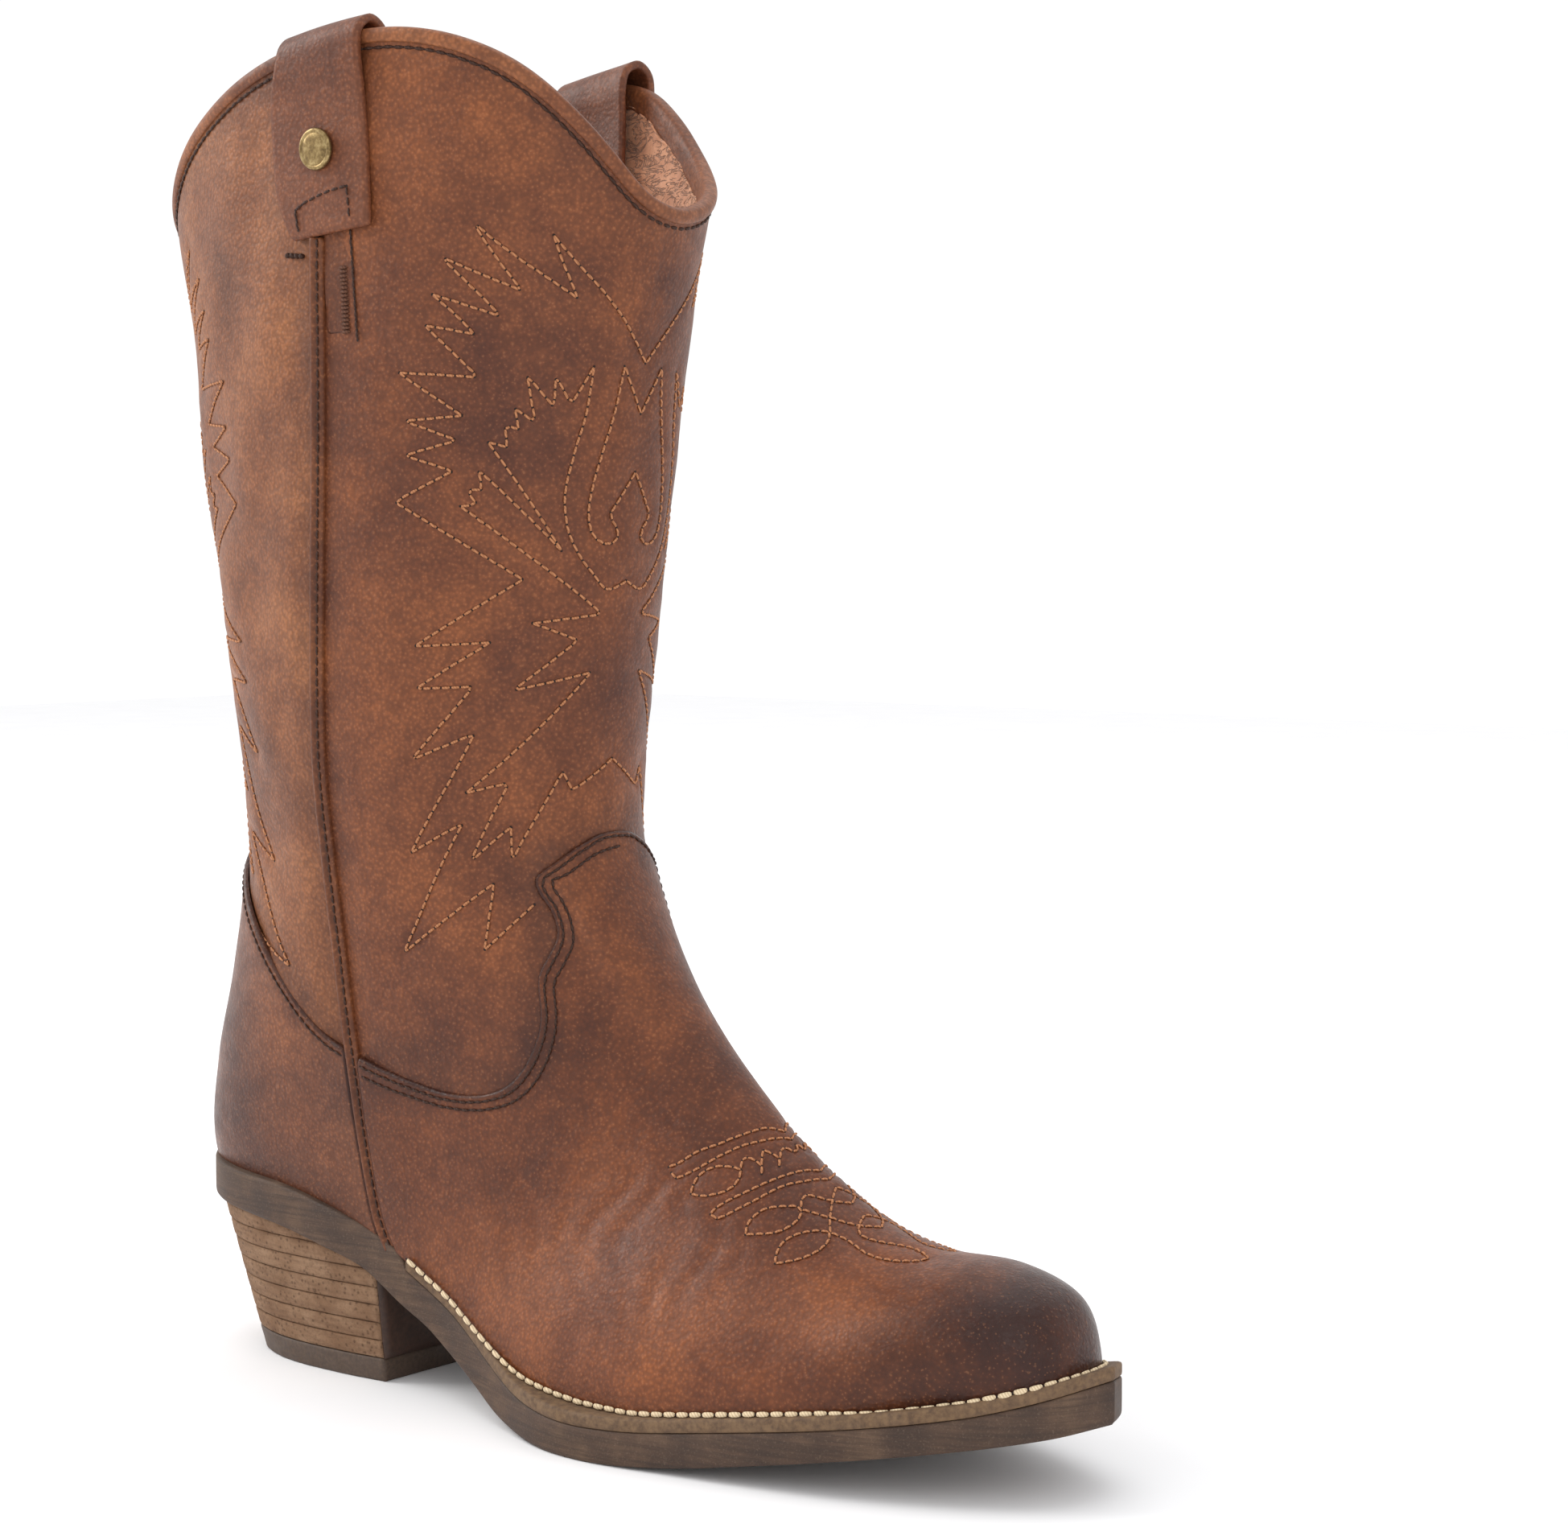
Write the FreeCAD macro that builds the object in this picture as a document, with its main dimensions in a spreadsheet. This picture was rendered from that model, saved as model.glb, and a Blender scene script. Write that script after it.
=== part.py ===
import FreeCAD, Part
import math
import os

os.makedirs("parts", exist_ok=True)
doc = FreeCAD.newDocument("cowboy_boot")
V = FreeCAD.Vector

# ---------------------------------------------------------------- driving dimensions (mm)
SIZES = (
    ("heel_centre", 40.0), ("leather", 1.75), ("outer_leather", 1.65), ("lining", 1.15),
    ("glue_gap", 0.05), ("skin_inset", 0.35), ("welt_thick", 3.4), ("welt_width", 9.5),
    ("rand_width", 7.0), ("insole_thick", 2.2), ("sock_thick", 1.4), ("top_piece_thick", 6.4),
    ("lift_thick", 4.8), ("nail_radius", 1.1), ("shank_width", 13.0), ("shank_thick", 1.8),
    ("strap_width", 31.0), ("strap_thick", 2.2), ("rivet_radius", 4.9), ("rivet_hole", 1.9),
    ("zip_length", 134.0), ("slot_half", 4.6), ("tape_width", 10.2), ("tape_thick", 0.9),
    ("tooth_length", 2.3), ("tooth_width", 1.0), ("tooth_pitch", 2.0), ("tooth_height", 1.55),
    ("slider_width", 8.0), ("slider_length", 11.0), ("pull_length", 21.0), ("pull_width", 5.4),
    ("pull_thick", 1.2), ("guard_width", 22.0),
)
sheet = doc.addObject("Spreadsheet::Sheet", "dims")
for row, (alias, value) in enumerate(SIZES, 1):
    sheet.set("A%d" % row, alias)
    sheet.set("B%d" % row, str(value))
    sheet.setAlias("B%d" % row, alias)
doc.recompute()
dim = dict(SIZES)
XC = dim["heel_centre"]

# layers of the upper, as distances out from the nominal skin
MID_OUT = -dim["skin_inset"]
MID_IN = MID_OUT - dim["leather"]
LIN_OUT = MID_IN - dim["glue_gap"]
LIN_IN = LIN_OUT - dim["lining"]
TOP_IN = MID_OUT + dim["glue_gap"]
TOP_OUT = TOP_IN + dim["outer_leather"]

# ---------------------------------------------------------------- the nominal skin of the boot
# Each row is a section that turns from level at the top of the leg to upright at mid-foot:
# front/top x z, back/bottom x z, lateral and medial half width, place of the widest point,
# roundness of the front part, roundness of the back part. x is from the back of the heel.
SECTIONS = (
    (167.0, 364.0, -26.4, 364.0, 55.4, 55.0, 0.50, 2.05, 2.1),
    (148.3, 306.0, -18.1, 306.0, 52.9, 52.7, 0.50, 2.05, 2.1),
    (140.6, 275.0, -12.4, 275.0, 51.7, 51.5, 0.50, 2.05, 2.1),
    (135.4, 240.0, -7.6, 240.0, 49.8, 49.6, 0.50, 2.05, 2.1),
    (130.8, 203.0, -1.8, 203.0, 47.9, 46.6, 0.50, 2.05, 2.1),
    (127.1, 168.0, 4.0, 166.0, 45.4, 43.6, 0.50, 2.05, 2.1),
    (127.4, 145.1, 5.3, 132.2, 41.7, 40.9, 0.50, 2.07, 2.2),
    (135.5, 125.7, 0.4, 104.1, 38.5, 38.4, 0.54, 2.13, 2.4),
    (146.3, 110.2, -5.1, 77.8, 36.3, 36.0, 0.58, 2.08, 2.8),
    (158.2, 97.0, -5.8, 48.8, 33.8, 33.6, 0.60, 2.02, 3.0),
    (169.6, 86.5, 17.8, 23.9, 31.7, 30.8, 0.61, 1.95, 2.9),
    (182.5, 75.8, 60.3, 8.2, 32.2, 29.6, 0.62, 1.88, 2.8),
    (196.2, 65.4, 104.5, -2.6, 39.1, 33.6, 0.64, 1.82, 2.7),
    (211.5, 56.1, 146.4, -7.6, 43.1, 38.0, 0.67, 1.82, 2.7),
    (229.8, 51.5, 180.1, -7.8, 40.1, 38.8, 0.69, 1.92, 2.8),
    (249.1, 50.8, 203.8, -4.3, 34.4, 35.1, 0.72, 2.13, 2.8),
    (264.5, 45.3, 217.3, 1.3, 27.3, 28.8, 0.73, 2.33, 2.8),
    (270.4, 34.4, 224.5, 5.0, 22.3, 23.7, 0.73, 2.41, 2.8),
    (270.3, 21.8, 227.7, 7.2, 19.9, 21.1, 0.70, 2.49, 2.8),
    (267.1, 11.6, 226.9, 5.5, 18.5, 19.0, 0.67, 2.47, 2.8),
)
LAST = len(SECTIONS) - 1
HALF = 12


def spline_value(values, t):
    """Smooth curve through evenly spaced values, straight on past both ends."""
    i = min(max(int(math.floor(t)), 0), len(values) - 2)
    u = t - i
    before = values[i - 1] if i > 0 else 2 * values[0] - values[1]
    after = values[i + 2] if i + 2 < len(values) else 2 * values[-1] - values[-2]
    a, b = values[i], values[i + 1]
    lin = (b - before) * u
    quad = (2 * before - 5 * a + 4 * b - after) * u * u
    cube = (3 * a - before - 3 * b + after) * u ** 3
    return 0.5 * (2 * a + lin + quad + cube)


def section(t, side):
    """Points down one side of section t, evenly spaced from the front to the back."""
    row = [spline_value([s[k] for s in SECTIONS], t) for k in range(9)]
    fx, fz, bx, bz, lateral, medial, widest, front, back = row
    half = lateral if side < 0 else medial
    dense = []
    for k in range(181):
        c = math.cos(math.pi * k / 180)
        s = max(math.sin(math.pi * k / 180), 0.0)
        if c >= 0:
            v = widest * (1 - c ** (2 / front))
            y = s ** (2 / front)
        else:
            v = widest + (1 - widest) * (-c) ** (2 / back)
            y = s ** (2 / back)
        dense.append(V(fx + (bx - fx) * v - XC, side * half * y, fz + (bz - fz) * v))
    runs = [0.0]
    for a, b in zip(dense, dense[1:]):
        runs.append(runs[-1] + a.distanceToPoint(b))
    points, k = [], 0
    for step in range(HALF + 1):
        want = runs[-1] * step / HALF
        while k < 179 and runs[k + 1] < want:
            k += 1
        u = (want - runs[k]) / (runs[k + 1] - runs[k])
        points.append(dense[k] + (dense[k + 1] - dense[k]) * u)
    return points


def ring(t):
    """All round section t: front, lateral side, back, medial side, front again."""
    return section(t, -1) + section(t, 1)[-2::-1]


ROWS = [k / 2 for k in range(2 * LAST + 1)]
RINGS = [ring(t) for t in ROWS]


def skin_normals():
    """Outward normals at every grid point of the skin."""
    normals = []
    for r in range(len(RINGS)):
        up = RINGS[max(r - 1, 0)]
        down = RINGS[min(r + 1, len(RINGS) - 1)]
        here = RINGS[r]
        count = len(here) - 1
        row = []
        for k in range(count + 1):
            ahead = here[(k + 1) % count]
            behind = here[(k - 1) % count]
            if r in (0, len(RINGS) - 1):
                across = here[0] - here[count // 2]
                plane = across.cross(V(0, 1, 0))
                n = (ahead - behind).cross(plane)
            else:
                n = (ahead - behind).cross(down[k] - up[k])
            n.normalize()
            row.append(n)
        normals.append(row)
    return normals


NORMALS = skin_normals()
middle = RINGS[4]
if NORMALS[4][HALF // 2].dot(middle[HALF // 2] - middle[HALF + HALF // 2]) < 0:
    NORMALS = [[n * -1.0 for n in row] for row in NORMALS]


def skin_solid(out):
    """Closed body whose wall stands `out` from the nominal skin."""
    grid = []
    for ring_points, ring_normals in zip(RINGS, NORMALS):
        grid.append([p + n * out for p, n in zip(ring_points, ring_normals)])
    surface = Part.BSplineSurface()
    surface.interpolate(grid)
    wall = surface.toShape()
    caps = [Part.Face(Part.Wire([e])) for e in wall.Edges if e.isClosed()]
    shell = Part.Shell([wall] + caps)
    shell.sewShape()
    return Part.Solid(shell)


def wall_point(x, z, side, out=0.0):
    """Point of the skin, and its outward normal, where a side view shows x and z."""
    best = (1e9, 0, 0)
    span = range(1, HALF) if side < 0 else range(HALF + 1, 2 * HALF)
    for r in range(1, len(RINGS) - 1):
        for k in span:
            p = RINGS[r][k]
            best = min(best, ((p.x + XC - x) ** 2 + (p.z - z) ** 2, r, k))
    r, k = best[1], best[2]
    here = RINGS[r][k]
    normal = NORMALS[r][k]
    down = RINGS[r + 1][k] - RINGS[r - 1][k]
    across = RINGS[r][k + 1] - RINGS[r][k - 1]
    dx, dz = x - XC - here.x, z - here.z
    det = down.x * across.z - down.z * across.x
    a = (dx * across.z - dz * across.x) / det
    b = (down.x * dz - down.z * dx) / det
    return here + down * a + across * b + normal * out, normal


# ---------------------------------------------------------------- side-view lines (x from heel, z)
FEATHER = (
    (-40, 55), (-8, 53.5), (0, 53), (16, 51.6), (37, 50), (53, 46.8), (67, 42.7), (76, 39.3),
    (83.2, 35.9), (91, 32), (101, 27.4), (112, 21.9), (124, 16.8), (135, 13.6), (152, 12),
    (167, 12.2), (180, 13.2), (202, 16.3), (221, 19), (238, 21.6), (254, 24.6), (262, 26.6),
    (270, 29), (277, 31.5), (300, 40),
)
TREAD = (
    (-40, 44), (-8, 42.5), (16, 41), (37, 38.8), (53, 35.3), (67, 31.2), (80.5, 23.4),
    (90, 18.7), (101, 12.5), (112, 7.2), (122, 3.2), (132, 1.1), (142, 0.2), (152, 0),
    (163, 0), (175, 0.6), (188, 2.1), (201, 4.3), (220, 7.6), (238, 10.6), (254, 13.4),
    (266, 15.6), (277, 17.8), (300, 23),
)
RIM_LATERAL = (
    (-60, 302), (-19, 302), (-10, 308), (3.8, 317.7), (17.6, 326.6), (33, 334.2),
    (48, 340.2), (63, 344.4), (79, 347.3), (98, 348), (108, 347), (116.4, 345.1),
    (126, 341.8), (133.4, 337.8), (139.8, 332), (144.3, 325), (146.5, 318.8),
    (147.6, 312.5), (147.9, 307.5), (148.3, 303), (150, 297), (154, 288),
)
RIM_MEDIAL = (
    (-60, 302), (-19, 302), (-10, 308), (3.8, 317.7), (17.6, 326.6), (33, 334.2),
    (48, 340.2), (63, 344.4), (76, 346.6), (88, 346), (98, 342.6), (110, 334),
    (120, 325.5), (131, 317), (139, 311.5), (144.5, 307.2), (148.1, 303.8), (152, 299.5),
    (157, 294), (163, 287),
)
SEAM = (
    (84, 25), (77.5, 36), (72, 48), (68.7, 69), (67.2, 88), (66.2, 105), (65.6, 133),
    (66, 166), (69.3, 213), (71.3, 240), (73.2, 268), (74.6, 297), (76, 325), (77, 370),
)
VAMP_EDGE = (
    (67.2, 89), (78.2, 85.5), (88.5, 82.8), (98.5, 81), (108.3, 81.4), (115.4, 84),
    (120, 88.5), (123.2, 94.8), (124.5, 102), (123.3, 111.5), (125, 117.5), (126, 121.5),
    (125.2, 125.5), (123.3, 129.5), (120.9, 133.2), (119.9, 137), (122.8, 141.2),
    (125, 145), (127.5, 148.6), (136, 151),
)
VAMP_UNDERLAP = (
    (67.2, 77), (90, 70.5), (107, 69.5), (122, 74), (132, 85), (135.5, 98), (135, 112),
    (132.5, 122), (133.5, 129), (150, 137),
)
COUNTER_EDGE = (
    (-40, 147), (4, 142.5), (12, 136.5), (21, 128), (30.6, 118.8), (40, 109),
    (52.1, 97.3), (60, 92), (67.2, 89),
)
COUNTER_UNDERLAP = (
    (-40, 132), (4, 127.5), (12, 121), (21, 113), (30, 104.5), (40, 95.5), (52, 85),
    (60, 80), (67.2, 77),
)
PUFF_EDGE = ((222, 90), (221, 60), (216, 40), (206, 10), (200, -10))
FAR = 130.0


def view_curve(points, y, lift=0.0):
    curve = Part.BSplineCurve()
    curve.interpolate([V(x - XC, y, z + lift) for x, z in points])
    return curve.toShape()


def ends(edge):
    return edge.Vertexes[0].Point, edge.Vertexes[-1].Point


def prism(chain, y0, y1):
    """Solid between y0 and y1 inside a side-view ring of curves and corner points."""
    edges, last, first = [], None, None
    for link in chain:
        if isinstance(link, tuple):
            start = finish = V(link[0] - XC, y0, link[1])
        else:
            start, finish = ends(link)
            if last is not None and last.distanceToPoint(start) > last.distanceToPoint(finish):
                start, finish = finish, start
            edges.append(link)
        if last is not None and last.distanceToPoint(start) > 1e-4:
            edges.append(Part.makeLine(last, start))
        first = first or start
        last = finish
    if last.distanceToPoint(first) > 1e-4:
        edges.append(Part.makeLine(last, first))
    face = Part.Face(Part.Wire(Part.__sortEdges__(edges)))
    return face.extrude(V(0, y1 - y0, 0))


def part_of_seam(low, high, shift=0.0):
    return [(x + shift, z) for x, z in SEAM if low < z < high]


def seam_x(z, shift=0.0):
    for (xa, za), (xb, zb) in zip(SEAM, SEAM[1:]):
        if za <= z <= zb:
            return xa + (xb - xa) * (z - za) / (zb - za) + shift
    return SEAM[-1][0] + shift


def below_rim(lift=0.0):
    """Everything above the feather line and below the scalloped rim."""
    halves = []
    for rim, y0, y1 in ((RIM_LATERAL, -FAR, 0.0), (RIM_MEDIAL, 0.0, FAR)):
        feather = view_curve(FEATHER, y0)
        top = view_curve(rim, y0, lift)
        halves.append(prism([feather, (310, 280), top], y0, y1))
    return halves[0].fuse(halves[1])


def region(shape, *tools):
    for tool in tools:
        shape = shape.common(tool)
    return shape


pieces = {}


def add_piece(name, shape, keep_largest=True):
    """Register a ready shape as its own named object."""
    if keep_largest and len(shape.Solids) > 1:
        shape = max(shape.Solids, key=lambda s: s.Volume)
    elif len(shape.Solids) == 1:
        shape = shape.Solids[0]
    obj = doc.addObject("Part::Feature", name)
    obj.Label = name
    obj.Shape = shape
    pieces[name] = obj
    return obj


def add_object(name, obj):
    obj.Label = name
    pieces[name] = obj
    return obj


# ---------------------------------------------------------------- leather and lining of the upper
keep = below_rim()
walls = {}
for depth in (TOP_OUT, TOP_IN, MID_OUT, MID_IN, LIN_OUT, LIN_IN, LIN_IN - dim["glue_gap"]):
    walls[depth] = skin_solid(depth).common(keep)
outer_layer = walls[TOP_OUT].cut(walls[TOP_IN])
mid_layer = walls[MID_OUT].cut(walls[MID_IN])
lining_layer = walls[LIN_OUT].cut(walls[LIN_IN])

# closing line of the zip: straight, up the inner side
ZIP_LOW = (66.6, 92.0)
ZIP_HIGH = (70.4, 226.0)
low_point, low_normal = wall_point(ZIP_LOW[0], ZIP_LOW[1], 1, MID_OUT)
high_point, high_normal = wall_point(ZIP_HIGH[0], ZIP_HIGH[1], 1, MID_OUT)
along = (high_point - low_point).normalize()
outward = low_normal + high_normal
outward = outward - along * outward.dot(along)
outward.normalize()
sideways = outward.cross(along)
zip_spot = FreeCAD.Placement(low_point, FreeCAD.Rotation(sideways, outward, along, "ZYX"))
ZIP_RUN = low_point.distanceToPoint(high_point)


def zip_box(w0, w1, n0, n1, u0, u1):
    """Box in the frame of the zip: w forward, n outward, u up the zip."""
    box = Part.makeBox(w1 - w0, n1 - n0, u1 - u0, V(w0, n0, u0))
    return box


def placed(shape, spot):
    copy = shape.copy()
    copy.Placement = spot.multiply(copy.Placement)
    return copy


SLOT = dim["slot_half"]
slot = placed(zip_box(-SLOT, SLOT, -9, 9, -2.4, ZIP_RUN + 3.7), zip_spot)
lining_slot = placed(zip_box(-13, 13, -12, 9, -7.0, ZIP_RUN + 8), zip_spot)
facing_keep = placed(zip_box(-40, 40, -20, 40, -6.0, ZIP_RUN + 6), zip_spot)

seam_curve = part_of_seam(0, 400)
front_of_seam = prism(seam_curve + [(310, 370), (310, 25)], -FAR, FAR)
behind_seam = prism([(x - 0.06, z) for x, z in seam_curve] + [(-60, 370), (-60, 25)], -FAR, FAR)
PIPING = 2.1
piping_low = [(x - PIPING, z) for x, z in SEAM if z < 300]
piping_front = [(x + PIPING, z) for x, z in SEAM if z < 300]
piping_band = prism(piping_low + piping_front[::-1], -FAR, FAR)
piping_room = prism(
    [(x - 0.1, z) for x, z in piping_low] + [(x + 0.1, z) for x, z in piping_front[::-1]],
    -FAR, FAR)

shaft_low = prism([view_curve(VAMP_UNDERLAP, -FAR), (310, 137), (310, 370), (50, 370), (50, 77)],
                  -FAR, FAR)
back_low = prism([view_curve(COUNTER_UNDERLAP, -FAR), (100, 77), (100, 370), (-40, 370)],
                 -FAR, FAR)
vamp_zone = prism([view_curve(VAMP_EDGE, -FAR), (310, 151), (310, 0), (86, 0), (77.5, 36),
                   (72, 48), (68.7, 69)], -FAR, FAR)
counter_zone = prism([view_curve(COUNTER_EDGE, -FAR), (68.7, 69), (72, 48), (77.5, 36),
                      (86, 10), (-40, 10)], -FAR, FAR)
under_shaft = prism([view_curve([(x, z - 0.1) for x, z in VAMP_UNDERLAP], -FAR), (310, 136.9),
                     (310, -20), (86, -20), (77.5, 36), (72, 48), (68.7, 69)], -FAR, FAR)
under_back = prism([view_curve([(x, z - 0.1) for x, z in COUNTER_UNDERLAP], -FAR),
                    (68.6, 69), (71.9, 48), (77.4, 36), (85.9, -20), (-40, -20)], -FAR, FAR)
toe_zone = prism([view_curve(PUFF_EDGE, -FAR), (310, -10), (310, 90)], -FAR, FAR)
mid_zone = prism([view_curve([(x - 0.1, z) for x, z in PUFF_EDGE], -FAR), (40, -10), (40, 90)],
                 -FAR, FAR)

front_panel = region(mid_layer, front_of_seam).common(shaft_low).cut(slot)
back_panel = region(mid_layer, behind_seam).common(back_low).cut(slot)
interlining = region(mid_layer, under_shaft, mid_zone)
puff = region(mid_layer, under_shaft, toe_zone)
stiffener = region(mid_layer, under_back)
vamp = region(outer_layer, vamp_zone).cut(piping_room)
counter = region(outer_layer, counter_zone).cut(piping_room)
leg_zone = prism([(-60, 150), (310, 150), (310, 370), (-60, 370)], -FAR, FAR)
foot_zone = prism([(-60, 149.9), (310, 149.9), (310, -20), (-60, -20)], -FAR, FAR)
leg_lining = region(lining_layer, leg_zone).cut(lining_slot)
foot_lining = region(lining_layer, foot_zone).cut(lining_slot)

lateral_half = prism([(-60, -20), (310, -20), (310, 370), (-60, 370)], -FAR, -5)
medial_half = prism([(-60, -20), (310, -20), (310, 370), (-60, 370)], 5, FAR)
piping_skin = region(outer_layer, piping_band)
lateral_piping = region(piping_skin, lateral_half)
above_zip = prism([(-60, 234), (310, 234), (310, 370), (-60, 370)], 5, FAR)
below_zip = prism([(-60, 85), (310, 85), (310, -20), (-60, -20)], 5, FAR)
front_strip = placed(zip_box(SLOT + 0.2, SLOT + 5.6, -6, 8, -5.0, ZIP_RUN + 6), zip_spot)
rear_strip = placed(zip_box(-SLOT - 3.4, -SLOT - 0.2, -6, 8, -5.0, ZIP_RUN + 6), zip_spot)
facing_top = prism([(-60, 92.8), (310, 92.8), (310, 370), (-60, 370)], 5, FAR)
TAB = prism([(75.8, 299.2), (75.8, 276), (86.4, 275), (86.4, 299.2)], -FAR, FAR)
tab_skin = region(outer_layer, TAB).cut(piping_band)

# rolled rim binding: wraps the top edge of shaft and lining
BIND_DOWN = 3.6
lid = below_rim(1.0).cut(below_rim(-BIND_DOWN))
bind_out = skin_solid(MID_OUT + 1.1).common(lid)
bind_in = skin_solid(LIN_IN - 1.0).common(lid)
full_wall_out = skin_solid(TOP_IN).common(below_rim(0.05))
full_wall_in = skin_solid(LIN_IN - dim["glue_gap"]).common(below_rim(0.05))
core = full_wall_out.cut(full_wall_in)
binding = bind_out.cut(bind_in).cut(core)

# ---------------------------------------------------------------- sole and heel, drawn features
OUTLINE_LATERAL = (
    (2.5, -26.8), (12, -32), (24, -34.6), (37, -35.4), (53, -35), (67, -33.6), (77, -33), (90, -32.7),
    (101, -34), (112, -36.9), (126, -42), (140, -47.2), (150, -49.6), (160, -50),
    (170, -48.9), (180, -47), (190, -45.2), (200, -43.5), (221, -38.8), (239, -32.2),
    (256, -24.2), (266, -17.6), (273.6, -9.8),
)
OUTLINE_MEDIAL = (
    (2.5, 26.8), (12, 32), (24, 34.4), (37, 35), (53, 34.4), (67, 32.8), (77, 31.6), (90, 31),
    (101, 31.3), (112, 32.4), (126, 34.6), (140, 37.8), (150, 40.2), (160, 42.3),
    (170, 43.7), (180, 44.4), (190, 44.4), (200, 43.4), (221, 39.2), (239, 33),
    (256, 26.6), (265.6, 21.6), (273.2, 15.4),
)
HEEL_BACK = (-8.5, 0)
TOE_TIP = (279, 3.2)


def outline_points(inset):
    """Sole outline from the heel back along the lateral side, the toe and back, moved inward."""
    ring_points = [HEEL_BACK, (-7.6, -11.5), (-4.2, -19.8)] + list(OUTLINE_LATERAL) + [TOE_TIP]
    ring_points += list(OUTLINE_MEDIAL)[::-1] + [(-4.2, 19.8), (-7.6, 11.5)]
    count = len(ring_points)
    moved = []
    for k, (x, y) in enumerate(ring_points):
        xa, ya = ring_points[k - 1]
        xb, yb = ring_points[(k + 1) % count]
        run = math.hypot(xb - xa, yb - ya)
        moved.append((x - (yb - ya) / run * inset, y + (xb - xa) / run * inset))
    return moved


def closed_curve(points):
    curve = Part.BSplineCurve()
    curve.interpolate([V(x - XC, y, 0) for x, y in points], PeriodicFlag=True)
    return curve


def new_body(name):
    return doc.addObject("PartDesign::Body", name)


def new_sketch(body, name, role, lift=0.0):
    sketch = body.newObject("Sketcher::SketchObject", name)
    planes = [f for f in body.Origin.OriginFeatures if f.Role == role]
    sketch.AttachmentSupport = [(planes[0], "")]
    sketch.MapMode = "FlatFace"
    sketch.AttachmentOffset = FreeCAD.Placement(V(0, 0, lift), FreeCAD.Rotation())
    return sketch


def draw_loop(sketch, corners):
    for a, b in zip(corners, corners[1:] + corners[:1]):
        sketch.addGeometry(Part.LineSegment(V(a[0], a[1], 0), V(b[0], b[1], 0)))


def draw_band(sketch, upper, lower):
    """Side-view band between two point rows, each drawn as one smooth curve."""
    rows = []
    for row in (upper, lower):
        curve = Part.BSplineCurve()
        curve.interpolate([V(x - XC, z, 0) for x, z in row])
        rows.append(curve)
        sketch.addGeometry(curve)
    sketch.addGeometry(Part.LineSegment(rows[0].StartPoint, rows[1].StartPoint))
    sketch.addGeometry(Part.LineSegment(rows[0].EndPoint, rows[1].EndPoint))


def symmetric(pad):
    if hasattr(pad, "SideType"):
        pad.SideType = "Symmetric"
    else:
        pad.Midplane = True


def sole_slab(name, upper, lower, outer=None, inner=None, windows=()):
    """Layer of the sole: side-view band, trimmed to the outline, with openings."""
    body = new_body(name)
    side = new_sketch(body, name + "_side", "XZ_Plane")
    draw_band(side, upper, lower)
    pad = body.newObject("PartDesign::Pad", name + "_pad")
    pad.Profile = side
    pad.Length = 2 * FAR
    symmetric(pad)
    cuts = []
    if outer is not None:
        plan = new_sketch(body, name + "_outline", "XY_Plane", 90)
        draw_loop(plan, [(-150, -140), (320, -140), (320, 140), (-150, 140)])
        plan.addGeometry(closed_curve(outline_points(outer)))
        cuts.append(plan)
    if inner is not None:
        hole = new_sketch(body, name + "_inner", "XY_Plane", 90)
        hole.addGeometry(closed_curve(outline_points(inner)))
        cuts.append(hole)
    for k, corners in enumerate(windows):
        window = new_sketch(body, name + "_window%d" % k, "XY_Plane", 90)
        draw_loop(window, corners)
        cuts.append(window)
    for k, plan in enumerate(cuts):
        pocket = body.newObject("PartDesign::Pocket", name + "_cut%d" % k)
        pocket.Profile = plan
        pocket.Type = "ThroughAll"
    doc.recompute()
    return body


def shifted(row, lift):
    return [(x, z + lift) for x, z in row]


def cut_object(name, base, tool):
    cut = doc.addObject("Part::Cut", name)
    cut.Base = base
    cut.Tool = tool
    return cut


WELT = dim["welt_thick"]
WELT_START = 82.0 - XC
INNER = dim["welt_width"]
RAND = dim["rand_width"]

blank = sole_slab("outsole_blank", FEATHER, TREAD, outer=0.0)
recess = new_body("outsole_recess")
recess_side = new_sketch(recess, "recess_side", "XZ_Plane")
draw_band(recess_side, shifted(FEATHER, 30), shifted(FEATHER, -WELT))
recess_pad = recess.newObject("PartDesign::Pad", "recess_pad")
recess_pad.Profile = recess_side
recess_pad.Length = 2 * FAR
symmetric(recess_pad)
recess_plan = new_sketch(recess, "recess_plan", "XY_Plane", 120)
heel_arc = [p for p in outline_points(RAND) if p[0] < 70]
heel_row = sorted([p for p in heel_arc if p[1] <= 0], key=lambda p: -p[0])
heel_row += sorted([p for p in heel_arc if p[1] > 0], key=lambda p: p[0])
arc = Part.BSplineCurve()
arc.interpolate([V(x - XC, y, 0) for x, y in heel_row])
recess_plan.addGeometry(arc)
draw_loop(recess_plan, [(-150, -140), (320, -140), (320, 140), (-150, 140)])
side_steps = [(arc.StartPoint.x, arc.StartPoint.y), (WELT_START, arc.StartPoint.y),
              (WELT_START, -60), (290, -60), (290, 60), (WELT_START, 60),
              (WELT_START, arc.EndPoint.y), (arc.EndPoint.x, arc.EndPoint.y)]
for (xa, ya), (xb, yb) in zip(side_steps, side_steps[1:]):
    recess_plan.addGeometry(Part.LineSegment(V(xa, ya, 0), V(xb, yb, 0)))
recess_cut = recess.newObject("PartDesign::Pocket", "recess_cut")
recess_cut.Profile = recess_plan
recess_cut.Type = "ThroughAll"
doc.recompute()

# nails that hold the heel stack
NAILS = ((14, 0), (24, -14), (24, 14), (50, -17), (50, 17))
nail_shapes = []
for x, y in NAILS:
    nail_shapes.append(Part.makeCylinder(dim["nail_radius"], 27.5, V(x - XC, y, 9.0)))
nail_set = Part.makeCompound(nail_shapes)
nails = doc.addObject("Part::Feature", "heel_nails")
nails.Shape = nail_set
add_object("heel_nails", nails)

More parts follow.
